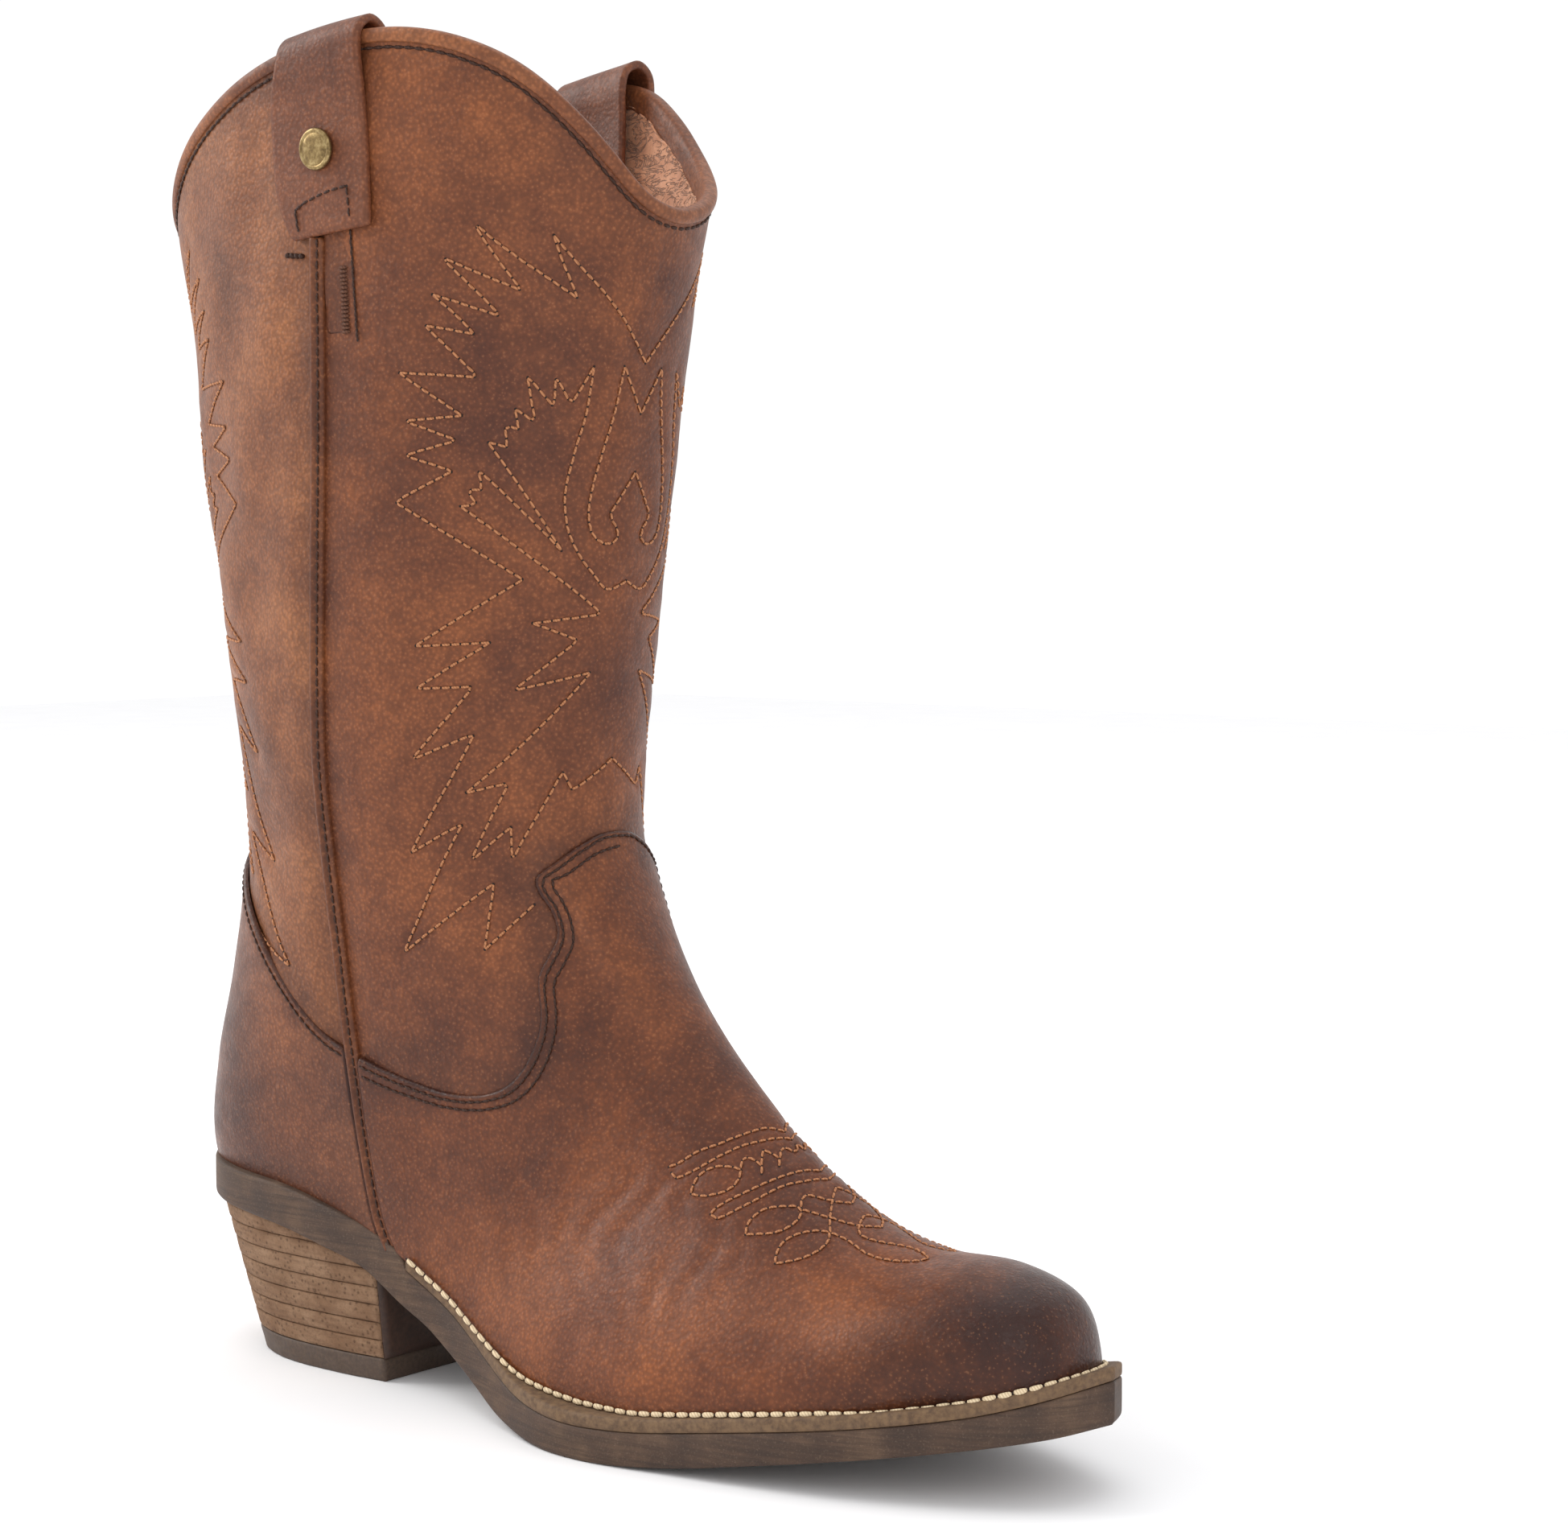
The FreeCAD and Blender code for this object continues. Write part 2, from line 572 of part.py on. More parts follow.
outsole_tool = doc.addObject("Part::MultiFuse", "outsole_tool")
outsole_tool.Shapes = [recess, nails]
outsole = add_object("outsole", cut_object("outsole", blank, outsole_tool))

welt_window = [(-150, -80), (WELT_START + 0.15, -80), (WELT_START + 0.15, 80), (-150, 80)]
welt = sole_slab("welt", FEATHER, shifted(FEATHER, dim["glue_gap"] - WELT), outer=0.0,
                 inner=INNER, windows=[welt_window])
add_object("welt", welt)

filler_blank = sole_slab("filler_blank", shifted(FEATHER, -0.1),
                         shifted(FEATHER, dim["glue_gap"] - WELT), outer=INNER + 0.35)
SHANK_X = (26.0 - XC, 132.0 - XC)
half_shank = dim["shank_width"] / 2
shank = sole_slab("shank", shifted(FEATHER, -0.8), shifted(FEATHER, -0.8 - dim["shank_thick"]),
                  windows=[
                      [(-150, -140), (SHANK_X[0], -140), (SHANK_X[0], 140), (-150, 140)],
                      [(SHANK_X[1], -140), (320, -140), (320, 140), (SHANK_X[1], 140)],
                      [(-150, half_shank), (320, half_shank), (320, 140), (-150, 140)],
                      [(-150, -140), (320, -140), (320, -half_shank), (-150, -half_shank)]])
add_object("shank", shank)
add_object("cork_filler", cut_object("cork_filler", filler_blank, shank))

# heel stack: level lifts, the upper ones wedge-cut by the seat
HEEL_TOP = 46.0
HEEL_PLAN = (
    (70, 33), (55, 34.2), (38, 34.4), (24, 33.4), (11, 30), (1, 24.2), (-5, 14.3),
)
HEEL_REAR, HEEL_BREAST = -7.0, 70.0


def heel_ring(z):
    """D-shaped plan of the heel at height z; it tapers to the tread."""
    rise = z / HEEL_TOP
    long = 0.79 + 0.21 * rise
    wide = 0.84 + 0.16 * rise
    side = [(HEEL_BREAST - (HEEL_BREAST - x) * long, y * wide) for x, y in HEEL_PLAN]
    back = (HEEL_BREAST - (HEEL_BREAST - HEEL_REAR) * long, 0.0)
    return [(x, -y) for x, y in side] + [back] + side[::-1]


def heel_layer(name, z0, z1):
    body = new_body(name)
    sketches = []
    for tag, z in (("low", z0), ("high", z1)):
        sketch = new_sketch(body, name + "_" + tag, "XY_Plane", z)
        curve = Part.BSplineCurve()
        curve.interpolate([V(x - XC, y, 0) for x, y in heel_ring(z)])
        sketch.addGeometry(curve)
        sketch.addGeometry(Part.LineSegment(curve.EndPoint, curve.StartPoint))
        sketches.append(sketch)
    loft = body.newObject("PartDesign::AdditiveLoft", name + "_loft")
    loft.Profile = sketches[0]
    loft.Sections = [sketches[1]]
    loft.Ruled = True
    return body


add_object("heel_top_piece", heel_layer("heel_top_piece", 0.0, dim["top_piece_thick"]))
seat = sole_slab("heel_seat_cut", shifted(TREAD, 60), shifted(TREAD, -dim["glue_gap"]))
heel_tool = doc.addObject("Part::MultiFuse", "heel_tool")
heel_tool.Shapes = [seat, nails]
LIFTS = 8
for k in range(LIFTS):
    z0 = dim["top_piece_thick"] + dim["glue_gap"] + k * (dim["lift_thick"] + dim["glue_gap"])
    layer = heel_layer("lift_blank_%d" % (k + 1), z0, z0 + dim["lift_thick"])
    add_object("heel_lift_%d" % (k + 1), cut_object("heel_lift_%d" % (k + 1), layer, heel_tool))

# insole board and sock, inside the lining
inside = walls[LIN_IN - dim["glue_gap"]]
GAP = dim["glue_gap"]
BOARD = dim["insole_thick"]
board_zone = prism([view_curve(FEATHER, -FAR, GAP), view_curve(FEATHER, -FAR, GAP + BOARD)],
                   -FAR, FAR)
sock_zone = prism([view_curve(FEATHER, -FAR, 2 * GAP + BOARD),
                   view_curve(FEATHER, -FAR, 2 * GAP + BOARD + dim["sock_thick"])], -FAR, FAR)
insole = region(inside, board_zone)
sock = region(inside, sock_zone)

# ---------------------------------------------------------------- pull straps and rivets
STRAP_X = 77.6
STRAP_Z = 320.0
RIVET_AHEAD = 0.6
STRAP_PATH = (
    (1.6, -20.5), (1.8, -6), (1.8, 5), (2.3, 14), (3.1, 23), (2.0, 29), (-2.4, 31.7),
    (-7.2, 29.4), (-8.5, 24), (-7.9, 17), (-7.5, 8), (-7.4, -2), (-7.4, -11.5),
)


def strap_side(shift):
    """Points of the strap path moved sideways to make one face of the strap."""
    moved = []
    for k, (q, z) in enumerate(STRAP_PATH):
        qa, za = STRAP_PATH[max(k - 1, 0)]
        qb, zb = STRAP_PATH[min(k + 1, len(STRAP_PATH) - 1)]
        run = math.hypot(qb - qa, zb - za)
        moved.append((q + (zb - za) / run * shift, z - (qb - qa) / run * shift))
    return moved


def wall_frame(x, z, side, turn_up):
    """Placement on the wall: its Y points out of the boot and its Z up the wall."""
    point, normal = wall_point(x, z, side, MID_OUT)
    higher, _ = wall_point(x, z + turn_up, side, MID_OUT)
    up = (higher - point).normalize()
    out = normal - up * normal.dot(up)
    out.normalize()
    return FreeCAD.Placement(point, FreeCAD.Rotation(out.cross(up), out, up, "ZYX"))


def pull_strap(name, spot):
    body = new_body(name)
    sketch = new_sketch(body, name + "_profile", "YZ_Plane")
    faces = []
    for shift in (dim["strap_thick"] / 2, -dim["strap_thick"] / 2):
        curve = Part.BSplineCurve()
        curve.interpolate([V(q, z, 0) for q, z in strap_side(shift)])
        sketch.addGeometry(curve)
        faces.append(curve)
    sketch.addGeometry(Part.LineSegment(faces[0].StartPoint, faces[1].StartPoint))
    sketch.addGeometry(Part.LineSegment(faces[0].EndPoint, faces[1].EndPoint))
    pad = body.newObject("PartDesign::Pad", name + "_pad")
    pad.Profile = sketch
    pad.setExpression("Length", "dims.strap_width")
    symmetric(pad)
    body.Placement = spot
    return body


def turned(name, spot, profile):
    """Round part turned about the outward axis of a wall placement."""
    body = new_body(name)
    sketch = new_sketch(body, name + "_profile", "YZ_Plane")
    draw_loop(sketch, profile)
    turn = body.newObject("PartDesign::Revolution", name + "_turn")
    turn.Profile = sketch
    turn.ReferenceAxis = (sketch, ["H_Axis"])
    turn.Angle = 360
    body.Placement = spot
    return body


R = dim["rivet_radius"]
HOLE = dim["rivet_hole"]
CAP = [(4.9, 0), (4.82, R * 0.42), (4.55, R * 0.62), (4.7, R * 0.68), (4.4, R * 0.85),
       (3.7, R), (3.02, R), (3.02, HOLE - 0.1), (-9.9, HOLE - 0.1), (-9.9, 0)]
WASHER = [(-8.62, HOLE), (-8.62, 4.4), (-9.2, 4.1), (-9.5, HOLE)]
holes = []
for side, word in ((-1, "lateral"), (1, "medial")):
    strap_spot = wall_frame(STRAP_X, STRAP_Z, side, 14.0)
    ahead = FreeCAD.Placement(V(side * RIVET_AHEAD, 0, 0), FreeCAD.Rotation())
    rivet_spot = strap_spot.multiply(ahead)
    strap = pull_strap("strap_blank_" + word, strap_spot)
    drill = doc.addObject("Part::Cylinder", "rivet_drill_" + word)
    drill.setExpression("Radius", "dims.rivet_hole")
    drill.Height = 26
    lying = FreeCAD.Placement(V(0, 13, 0), FreeCAD.Rotation(V(1, 0, 0), 90))
    drill.Placement = rivet_spot.multiply(lying)
    holes.append(drill)
    add_object("pull_strap_" + word, cut_object("pull_strap_" + word, strap, drill))
    add_object("strap_rivet_" + word, turned("strap_rivet_" + word, rivet_spot, CAP))
    add_object("rivet_washer_" + word, turned("rivet_washer_" + word, rivet_spot, WASHER))
doc.recompute()
drills = holes[0].Shape.fuse(holes[1].Shape)

# ---------------------------------------------------------------- zip on the inner side
ZL = ZIP_RUN
TAPE_N = (-3.9, -3.9 + dim["tape_thick"])
TOOTH_N = (TAPE_N[1] + 0.02, TAPE_N[1] + 0.02 + dim["tooth_height"])


def zip_part(name, shape):
    return add_piece(name, placed(shape, zip_spot), False)


for word, way in (("front", 1), ("rear", -1)):
    lo, hi = sorted((way * 0.75, way * (0.75 + dim["tape_width"])))
    zip_part("zip_tape_" + word, zip_box(lo, hi, TAPE_N[0], TAPE_N[1], -4.0, ZL + 4.5))
    lo, hi = sorted((way * 0.72, way * (0.72 + dim["tooth_length"])))
    count = int((ZL - 4) / dim["tooth_pitch"])
    offset = 0.0 if way > 0 else dim["tooth_pitch"] / 2
    teeth = []
    for k in range(count):
        u = 2.2 + offset + k * dim["tooth_pitch"]
        teeth.append(zip_box(lo, hi, TOOTH_N[0], TOOTH_N[1], u, u + dim["tooth_width"]))
    zip_part("zip_teeth_" + word, Part.makeCompound(teeth))

STOP_TOP = zip_box(-3.2, 3.2, TOOTH_N[0], TOOTH_N[1] + 0.4, ZL + 0.6, ZL + 3.2)
STOP_LOW = zip_box(-3.2, 3.2, TOOTH_N[0], TOOTH_N[1] + 0.3, -1.8, 0.8)
zip_part("zip_top_stop", STOP_TOP)
zip_part("zip_bottom_stop", STOP_LOW)

# slider: outer plate, side flanges, post between the rows, inner plate behind the tapes
SW = dim["slider_width"] / 2
SL = dim["slider_length"]
REST_U = ZL - 1.6 - SL
PLATE_N = (TOOTH_N[1] + 0.25, TOOTH_N[1] + 1.35)
outer_plate = zip_box(-SW, SW, PLATE_N[0], PLATE_N[1], 0, SL)
outer_edges = [e for e in outer_plate.Edges if abs(e.Vertexes[0].Y - e.Vertexes[-1].Y) > 0.5]
outer_plate = outer_plate.makeFillet(2.6, outer_edges)
flange_front = zip_box(SW - 0.7, SW, TAPE_N[1] + 0.25, PLATE_N[0] + 0.2, 2.8, SL - 2.8)
flange_rear = zip_box(-SW, 0.7 - SW, TAPE_N[1] + 0.25, PLATE_N[0] + 0.2, 2.8, SL - 2.8)
post = zip_box(-0.4, 0.4, TAPE_N[0] - 0.9, PLATE_N[0] + 0.2, SL - 4.4, SL - 0.8)
inner_plate = zip_box(1.0 - SW, SW - 1.0, TAPE_N[0] - 1.1, TAPE_N[0] - 0.3, 1.2, SL - 0.6)
lug_front = zip_box(1.2, 2.0, PLATE_N[1] - 0.2, PLATE_N[1] + 3.35, 4.2, 8.6)
lug_rear = zip_box(-2.0, -1.2, PLATE_N[1] - 0.2, PLATE_N[1] + 3.35, 4.2, 8.6)
HINGE_N = PLATE_N[1] + 2.3
HINGE_U = 6.4
axle_at = V(-2.0, HINGE_N, HINGE_U)
axle = Part.makeCylinder(0.55, 4.0, axle_at, V(1, 0, 0))
slider = outer_plate.multiFuse([flange_front, flange_rear, post, inner_plate, lug_front,
                                lug_rear, axle])
slider.translate(V(0, 0, REST_U))
zip_part("zip_slider", slider.removeSplitter())

# pull tab: eye round the axle, tab hanging down, hole near its end
PW = dim["pull_width"] / 2
PT = dim["pull_thick"]
eye = Part.makeCylinder(1.25, 2.0, V(-1.0, HINGE_N, HINGE_U), V(1, 0, 0))
bore = Part.makeCylinder(0.8, 2.4, V(-1.2, HINGE_N, HINGE_U), V(1, 0, 0))
neck = zip_box(-1.0, 1.0, HINGE_N - 0.1, HINGE_N + 1.1, HINGE_U - 8.6, HINGE_U)
tab_top = HINGE_U - 7.4
tab = zip_box(-PW, PW, HINGE_N - 0.1, HINGE_N - 0.1 + PT, tab_top - dim["pull_length"], tab_top)
corners = [e for e in tab.Edges if abs(e.Vertexes[0].Y - e.Vertexes[-1].Y) > 0.5]
tab = tab.makeFillet(1.8, corners)
tab_hole = Part.makeCylinder(1.3, 4.0, V(0, HINGE_N - 1.5, tab_top - dim["pull_length"] + 4),
                             V(0, 1, 0))
pull = eye.multiFuse([neck, tab]).cut(bore).cut(tab_hole)
pull.translate(V(0, 0, REST_U))
zip_part("zip_pull", pull.removeSplitter())

GW = dim["guard_width"] / 2
zip_part("zip_guard", zip_box(-GW, GW, TAPE_N[0] - 2.9, TAPE_N[0] - 1.7, -6.0, ZL + 7))

# ---------------------------------------------------------------- finished upper pieces
add_piece("vamp", vamp)
add_piece("counter", counter)
add_piece("vamp_interlining", interlining)
add_piece("toe_puff", puff)
add_piece("counter_stiffener", stiffener)
add_piece("shaft_front", front_panel.cut(drills))
add_piece("shaft_back", back_panel.cut(drills))
add_piece("shaft_lining", leg_lining.cut(drills))
add_piece("foot_lining", foot_lining)
add_piece("rim_binding", binding)
add_piece("insole", insole)
add_piece("footbed_sock", sock)
add_piece("side_piping_lateral", lateral_piping)
add_piece("side_piping_medial_top", region(piping_skin, above_zip))
add_piece("side_piping_medial_low", region(piping_skin, below_zip))
add_piece("strap_tab_lateral", region(tab_skin, lateral_half))
add_piece("strap_tab_medial", region(tab_skin, medial_half))
add_piece("zip_facing_front", region(outer_layer, front_strip, facing_top))
add_piece("zip_facing_rear", region(outer_layer, rear_strip, facing_top))

# ---------------------------------------------------------------- check and write
doc.recompute()
problems = []
for obj in doc.Objects:
    if "Invalid" in obj.State or "Error" in obj.State:
        problems.append("%s state %s" % (obj.Name, obj.State))
for name in sorted(pieces):
    obj = pieces[name]
    if obj.Shape.isNull() or not obj.Shape.isValid():
        problems.append("%s shape" % name)
    box = obj.Shape.BoundBox
    print("%-24s solids %2d volume %9.0f" % (name, len(obj.Shape.Solids), obj.Shape.Volume),
          "x %.1f %.1f y %.1f %.1f z %.1f %.1f"
          % (box.XMin, box.XMax, box.YMin, box.YMax, box.ZMin, box.ZMax))
    obj.Shape.exportStep("parts/%s.step" % name)
print("pieces", len(pieces), "problems", problems)
if problems:
    raise SystemExit(1)
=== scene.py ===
import math

import bmesh
import bpy
import numpy as np
from mathutils import Matrix, Vector, kdtree


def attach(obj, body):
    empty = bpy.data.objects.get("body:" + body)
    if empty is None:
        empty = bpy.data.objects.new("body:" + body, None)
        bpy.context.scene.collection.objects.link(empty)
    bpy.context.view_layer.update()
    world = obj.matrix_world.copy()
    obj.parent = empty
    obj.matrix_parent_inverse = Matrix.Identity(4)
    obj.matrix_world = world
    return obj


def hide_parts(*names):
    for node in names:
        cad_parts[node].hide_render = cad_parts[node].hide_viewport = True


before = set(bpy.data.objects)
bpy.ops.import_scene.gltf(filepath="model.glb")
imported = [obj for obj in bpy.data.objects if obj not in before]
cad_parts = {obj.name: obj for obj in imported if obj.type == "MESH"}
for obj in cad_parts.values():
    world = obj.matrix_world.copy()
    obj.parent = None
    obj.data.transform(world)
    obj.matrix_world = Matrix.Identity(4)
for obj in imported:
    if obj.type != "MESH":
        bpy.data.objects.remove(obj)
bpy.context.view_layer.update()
MM = 0.001
rng = np.random.default_rng(7)

# ---------------------------------------------------------------- skin of the boot, in mm
# the tables' x runs from near the heel's back; the frame's origin lies XC further on
XC = 40.0
# heights over the skin: vamp and counter, shaft, and the lining's inner face
TOP_OUT, MID_OUT, LIN_IN = 1.35, -0.35, -3.3
SECTIONS = np.array((
    (167.0, 364.0, -26.4, 364.0, 55.4, 55.0, 0.50, 2.05, 2.1),
    (148.3, 306.0, -18.1, 306.0, 52.9, 52.7, 0.50, 2.05, 2.1),
    (140.6, 275.0, -12.4, 275.0, 51.7, 51.5, 0.50, 2.05, 2.1),
    (135.4, 240.0, -7.6, 240.0, 49.8, 49.6, 0.50, 2.05, 2.1),
    (130.8, 203.0, -1.8, 203.0, 47.9, 46.6, 0.50, 2.05, 2.1),
    (127.1, 168.0, 4.0, 166.0, 45.4, 43.6, 0.50, 2.05, 2.1),
    (127.4, 145.1, 5.3, 132.2, 41.7, 40.9, 0.50, 2.07, 2.2),
    (135.5, 125.7, 0.4, 104.1, 38.5, 38.4, 0.54, 2.13, 2.4),
    (146.3, 110.2, -5.1, 77.8, 36.3, 36.0, 0.58, 2.08, 2.8),
    (158.2, 97.0, -5.8, 48.8, 33.8, 33.6, 0.60, 2.02, 3.0),
    (169.6, 86.5, 17.8, 23.9, 31.7, 30.8, 0.61, 1.95, 2.9),
    (182.5, 75.8, 60.3, 8.2, 32.2, 29.6, 0.62, 1.88, 2.8),
    (196.2, 65.4, 104.5, -2.6, 39.1, 33.6, 0.64, 1.82, 2.7),
    (211.5, 56.1, 146.4, -7.6, 43.1, 38.0, 0.67, 1.82, 2.7),
    (229.8, 51.5, 180.1, -7.8, 40.1, 38.8, 0.69, 1.92, 2.8),
    (249.1, 50.8, 203.8, -4.3, 34.4, 35.1, 0.72, 2.13, 2.8),
    (264.5, 45.3, 217.3, 1.3, 27.3, 28.8, 0.73, 2.33, 2.8),
    (270.4, 34.4, 224.5, 5.0, 22.3, 23.7, 0.73, 2.41, 2.8),
    (270.3, 21.8, 227.7, 7.2, 19.9, 21.1, 0.70, 2.49, 2.8),
    (267.1, 11.6, 226.9, 5.5, 18.5, 19.0, 0.67, 2.47, 2.8),
))
LAST = len(SECTIONS) - 1
FEATHER = (
    (-40, 55), (-8, 53.5), (0, 53), (16, 51.6), (37, 50), (53, 46.8), (67, 42.7), (76, 39.3),
    (83.2, 35.9), (91, 32), (101, 27.4), (112, 21.9), (124, 16.8), (135, 13.6), (152, 12),
    (167, 12.2), (180, 13.2), (202, 16.3), (221, 19), (238, 21.6), (254, 24.6), (262, 26.6),
    (270, 29), (277, 31.5), (300, 40),
)
TREAD = (
    (-40, 44), (-8, 42.5), (16, 41), (37, 38.8), (53, 35.3), (67, 31.2), (80.5, 23.4),
    (90, 18.7), (101, 12.5), (112, 7.2), (122, 3.2), (132, 1.1), (142, 0.2), (152, 0),
    (163, 0), (175, 0.6), (188, 2.1), (201, 4.3), (220, 7.6), (238, 10.6), (254, 13.4),
    (266, 15.6), (277, 17.8), (300, 23),
)
RIM_BACK = (
    (-60, 302), (-19, 302), (-10, 308), (3.8, 317.7), (17.6, 326.6), (33, 334.2),
    (48, 340.2), (63, 344.4),
)
RIM_LATERAL = RIM_BACK + (
    (79, 347.3), (98, 348), (108, 347), (116.4, 345.1), (126, 341.2), (133.4, 336.2),
    (139.4, 329.6), (143.6, 322.6), (146, 316.4), (147.2, 310.8), (147.8, 306.6),
    (148.3, 303), (150, 297), (154, 288),
)
RIM_MEDIAL = RIM_BACK + (
    (76, 346.6), (88, 346), (98, 342.6), (110, 334), (120, 325.5), (131, 317), (139, 311.5),
    (144.5, 307.2), (148.1, 303.8), (152, 299.5), (157, 294), (163, 287),
)
SEAM = (
    (84, 25), (77.5, 36), (72, 48), (68.7, 69), (67.2, 88), (66.2, 105), (65.6, 133),
    (66, 166), (69.3, 213), (71.3, 240), (73.2, 268), (74.6, 297), (76, 325), (77, 370),
)
VAMP_EDGE = (
    (67.2, 89), (78.2, 85.5), (88.5, 82.8), (98.5, 81), (108.3, 81.4), (115.4, 84),
    (120, 88.5), (123.2, 94.8), (124.5, 102), (123.3, 111.5), (125, 117.5), (126, 121.5),
    (125.2, 125.5), (123.3, 129.5), (120.9, 133.2), (119.9, 137), (122.8, 141.2),
    (125, 145), (127.5, 148.6), (136, 151),
)
COUNTER_EDGE = (
    (-40, 147), (4, 142.5), (12, 136.5), (21, 128), (30.6, 118.8), (40, 109),
    (52.1, 97.3), (60, 92), (67.2, 89),
)


def catmull(rows, t):
    """Smooth rows of values at positions t, straight on past both ends."""
    rows = np.asarray(rows, float)
    rows = rows.reshape(len(rows), -1)
    t = np.asarray(t, float)
    i = np.clip(np.floor(t).astype(int), 0, len(rows) - 2)
    u = (t - i)[..., None]
    ext = np.vstack([2 * rows[0] - rows[1], rows, 2 * rows[-1] - rows[-2]])
    before, a, b, after = ext[i], ext[i + 1], ext[i + 2], ext[i + 3]
    return 0.5 * (2 * a + (b - before) * u + (2 * before - 5 * a + 4 * b - after) * u * u
                  + (3 * a - before - 3 * b + after) * u ** 3)


def run_along(points):
    """Distance along the line from its first point to each point."""
    return np.r_[0, np.cumsum(np.linalg.norm(np.diff(points, axis=0), axis=1))]


def resample(want, at, rows):
    """Rows standing at the values at, read off at the wanted values."""
    return np.stack([np.interp(want, at, row) for row in rows.T], 1)


def unit(rows):
    return rows / np.linalg.norm(rows, axis=1)[:, None]


def neighbours(row, closed):
    """The next and the previous point of every point of a line."""
    if closed:
        return np.roll(row, -1, 0), np.roll(row, 1, 0)
    return np.vstack([row[1:], row[-1:]]), np.vstack([row[:1], row[:-1]])


def smooth_row(points, step=1.0):
    """Points of a smooth curve through the given points, about step apart."""
    pts = np.asarray(points, float)
    dense = catmull(pts, np.linspace(0, len(pts) - 1, (len(pts) - 1) * 24 + 1))
    run = run_along(dense)
    return resample(np.linspace(0, run[-1], max(int(round(run[-1] / step)), 1) + 1), run, dense)


# dense table of the skin: T rows of stations, both sides, from front or top to back or bottom
PER_STATION = 12
T_STEP = 1 / PER_STATION
NS = 180
T_ROWS = np.arange(0, LAST * PER_STATION + 1) * T_STEP


def skin_table(side):
    rows = catmull(SECTIONS, T_ROWS)
    theta = np.linspace(0, math.pi, 721)
    c, s = np.cos(theta), np.clip(np.sin(theta), 0, 1)
    table = np.zeros((len(T_ROWS), NS + 1, 3))
    for j, (fx, fz, bx, bz, lateral, medial, widest, front, back) in enumerate(rows):
        half = lateral if side < 0 else medial
        ahead = c >= 0
        v = np.where(ahead, widest * (1 - np.abs(c) ** (2 / front)),
                     widest + (1 - widest) * np.abs(c) ** (2 / back))
        y = np.where(ahead, s ** (2 / front), s ** (2 / back)) * half * side
        p = np.stack([fx + (bx - fx) * v - XC, y, fz + (bz - fz) * v], 1)
        run = run_along(p)
        table[j] = resample(np.linspace(0, run[-1], NS + 1), run, p)
    return table


# one ring: column 0 is the front centre, NS the back centre, 2 NS the front centre again
RING = np.concatenate([skin_table(-1), skin_table(1)[:, -2::-1]], axis=1)
COLS = 2 * NS


def ring_normals():
    wrap = np.concatenate([RING[:, -3:-1], RING[:, :-1], RING[:, :2]], axis=1)
    across = (wrap[:, 3:-1] - wrap[:, 1:-3])
    down = np.gradient(RING[:, :-1], axis=0)
    n = np.cross(across, down)
    n /= np.linalg.norm(n, axis=2)[..., None] + 1e-12
    if n[60, NS // 2, 1] > 0:
        n = -n
    return np.concatenate([n, n[:, :1]], axis=1)


NORMAL = ring_normals()


def ring_at(table, t, q):
    """Bilinear value of a ring table at station t and ring column q (may wrap)."""
    r = np.clip(np.asarray(t, float) / T_STEP, 0, len(T_ROWS) - 1.0001)
    q = np.mod(np.asarray(q, float), COLS)
    i, j = np.floor(r).astype(int), np.minimum(np.floor(q).astype(int), COLS - 1)
    u, v = (r - i)[..., None], (q - j)[..., None]
    return ((1 - u) * ((1 - v) * table[i, j] + v * table[i, j + 1])
            + u * ((1 - v) * table[i + 1, j] + v * table[i + 1, j + 1]))


def skin(t, q, out=0.0):
    """Point of the skin (final frame, mm), stood out along its normal."""
    n = ring_at(NORMAL, t, q)
    n = n / (np.linalg.norm(n, axis=-1)[..., None] + 1e-12)
    out = np.asarray(out, float)
    return ring_at(RING, t, q) + n * (out[..., None] if out.ndim else out), n


def column(s, side):
    """Ring column of an arc fraction s on one side."""
    along = np.asarray(s, float) * NS
    return np.where(np.asarray(side) < 0, along, COLS - along)


# ---------------------------------------------------------------- side-view outlines
def chain(*rows):
    """Closed side-view outline, each link a row of points drawn as a smooth curve."""
    parts = []
    for row in rows:
        parts.append(smooth_row(row, 1.0) if len(row) > 2 else np.asarray(row, float))
    return np.vstack(parts)


def outline_gap(outline, x, z):
    """Signed distance in the side view: positive inside the closed outline."""
    pts = np.stack([x, z], -1).reshape(-1, 2)
    a = outline
    b = np.roll(outline, -1, axis=0)
    best = np.full(len(pts), 1e9)
    inside = np.zeros(len(pts), bool)
    for (xa, za), (xb, zb) in zip(a, b):
        d = np.array([xb - xa, zb - za])
        length = max(d @ d, 1e-9)
        u = np.clip(((pts[:, 0] - xa) * d[0] + (pts[:, 1] - za) * d[1]) / length, 0, 1)
        gap = (pts[:, 0] - xa - u * d[0]) ** 2 + (pts[:, 1] - za - u * d[1]) ** 2
        best = np.minimum(best, gap)
        crosses = (za > pts[:, 1]) != (zb > pts[:, 1])
        if crosses.any():
            at = xa + (pts[:, 1] - za) * (xb - xa) / ((zb - za) or 1e-9)
            inside ^= crosses & (pts[:, 0] < at)
    return (np.sqrt(best) * np.where(inside, 1, -1)).reshape(x.shape)


# ---------------------------------------------------------------- fine grid over the whole skin
def fine_rows(step=1.05):
    """Stations spaced so that neighbouring rows lie about step apart at their widest."""
    rows = []
    for i in range(LAST):
        a, b = RING[i * PER_STATION], RING[(i + 1) * PER_STATION]
        n = max(int(math.ceil(np.linalg.norm(a - b, axis=1).max() / step)), 2)
        rows += list(i + np.arange(n) / n)
    return np.array(rows + [float(LAST)])


T_FINE = fine_rows()
TG, QG = np.meshgrid(T_FINE, np.arange(COLS, dtype=float), indexing="ij")
PG, _ = skin(TG, QG)
XG, ZG = PG[..., 0] + XC, PG[..., 2]
LATERAL = QG <= NS

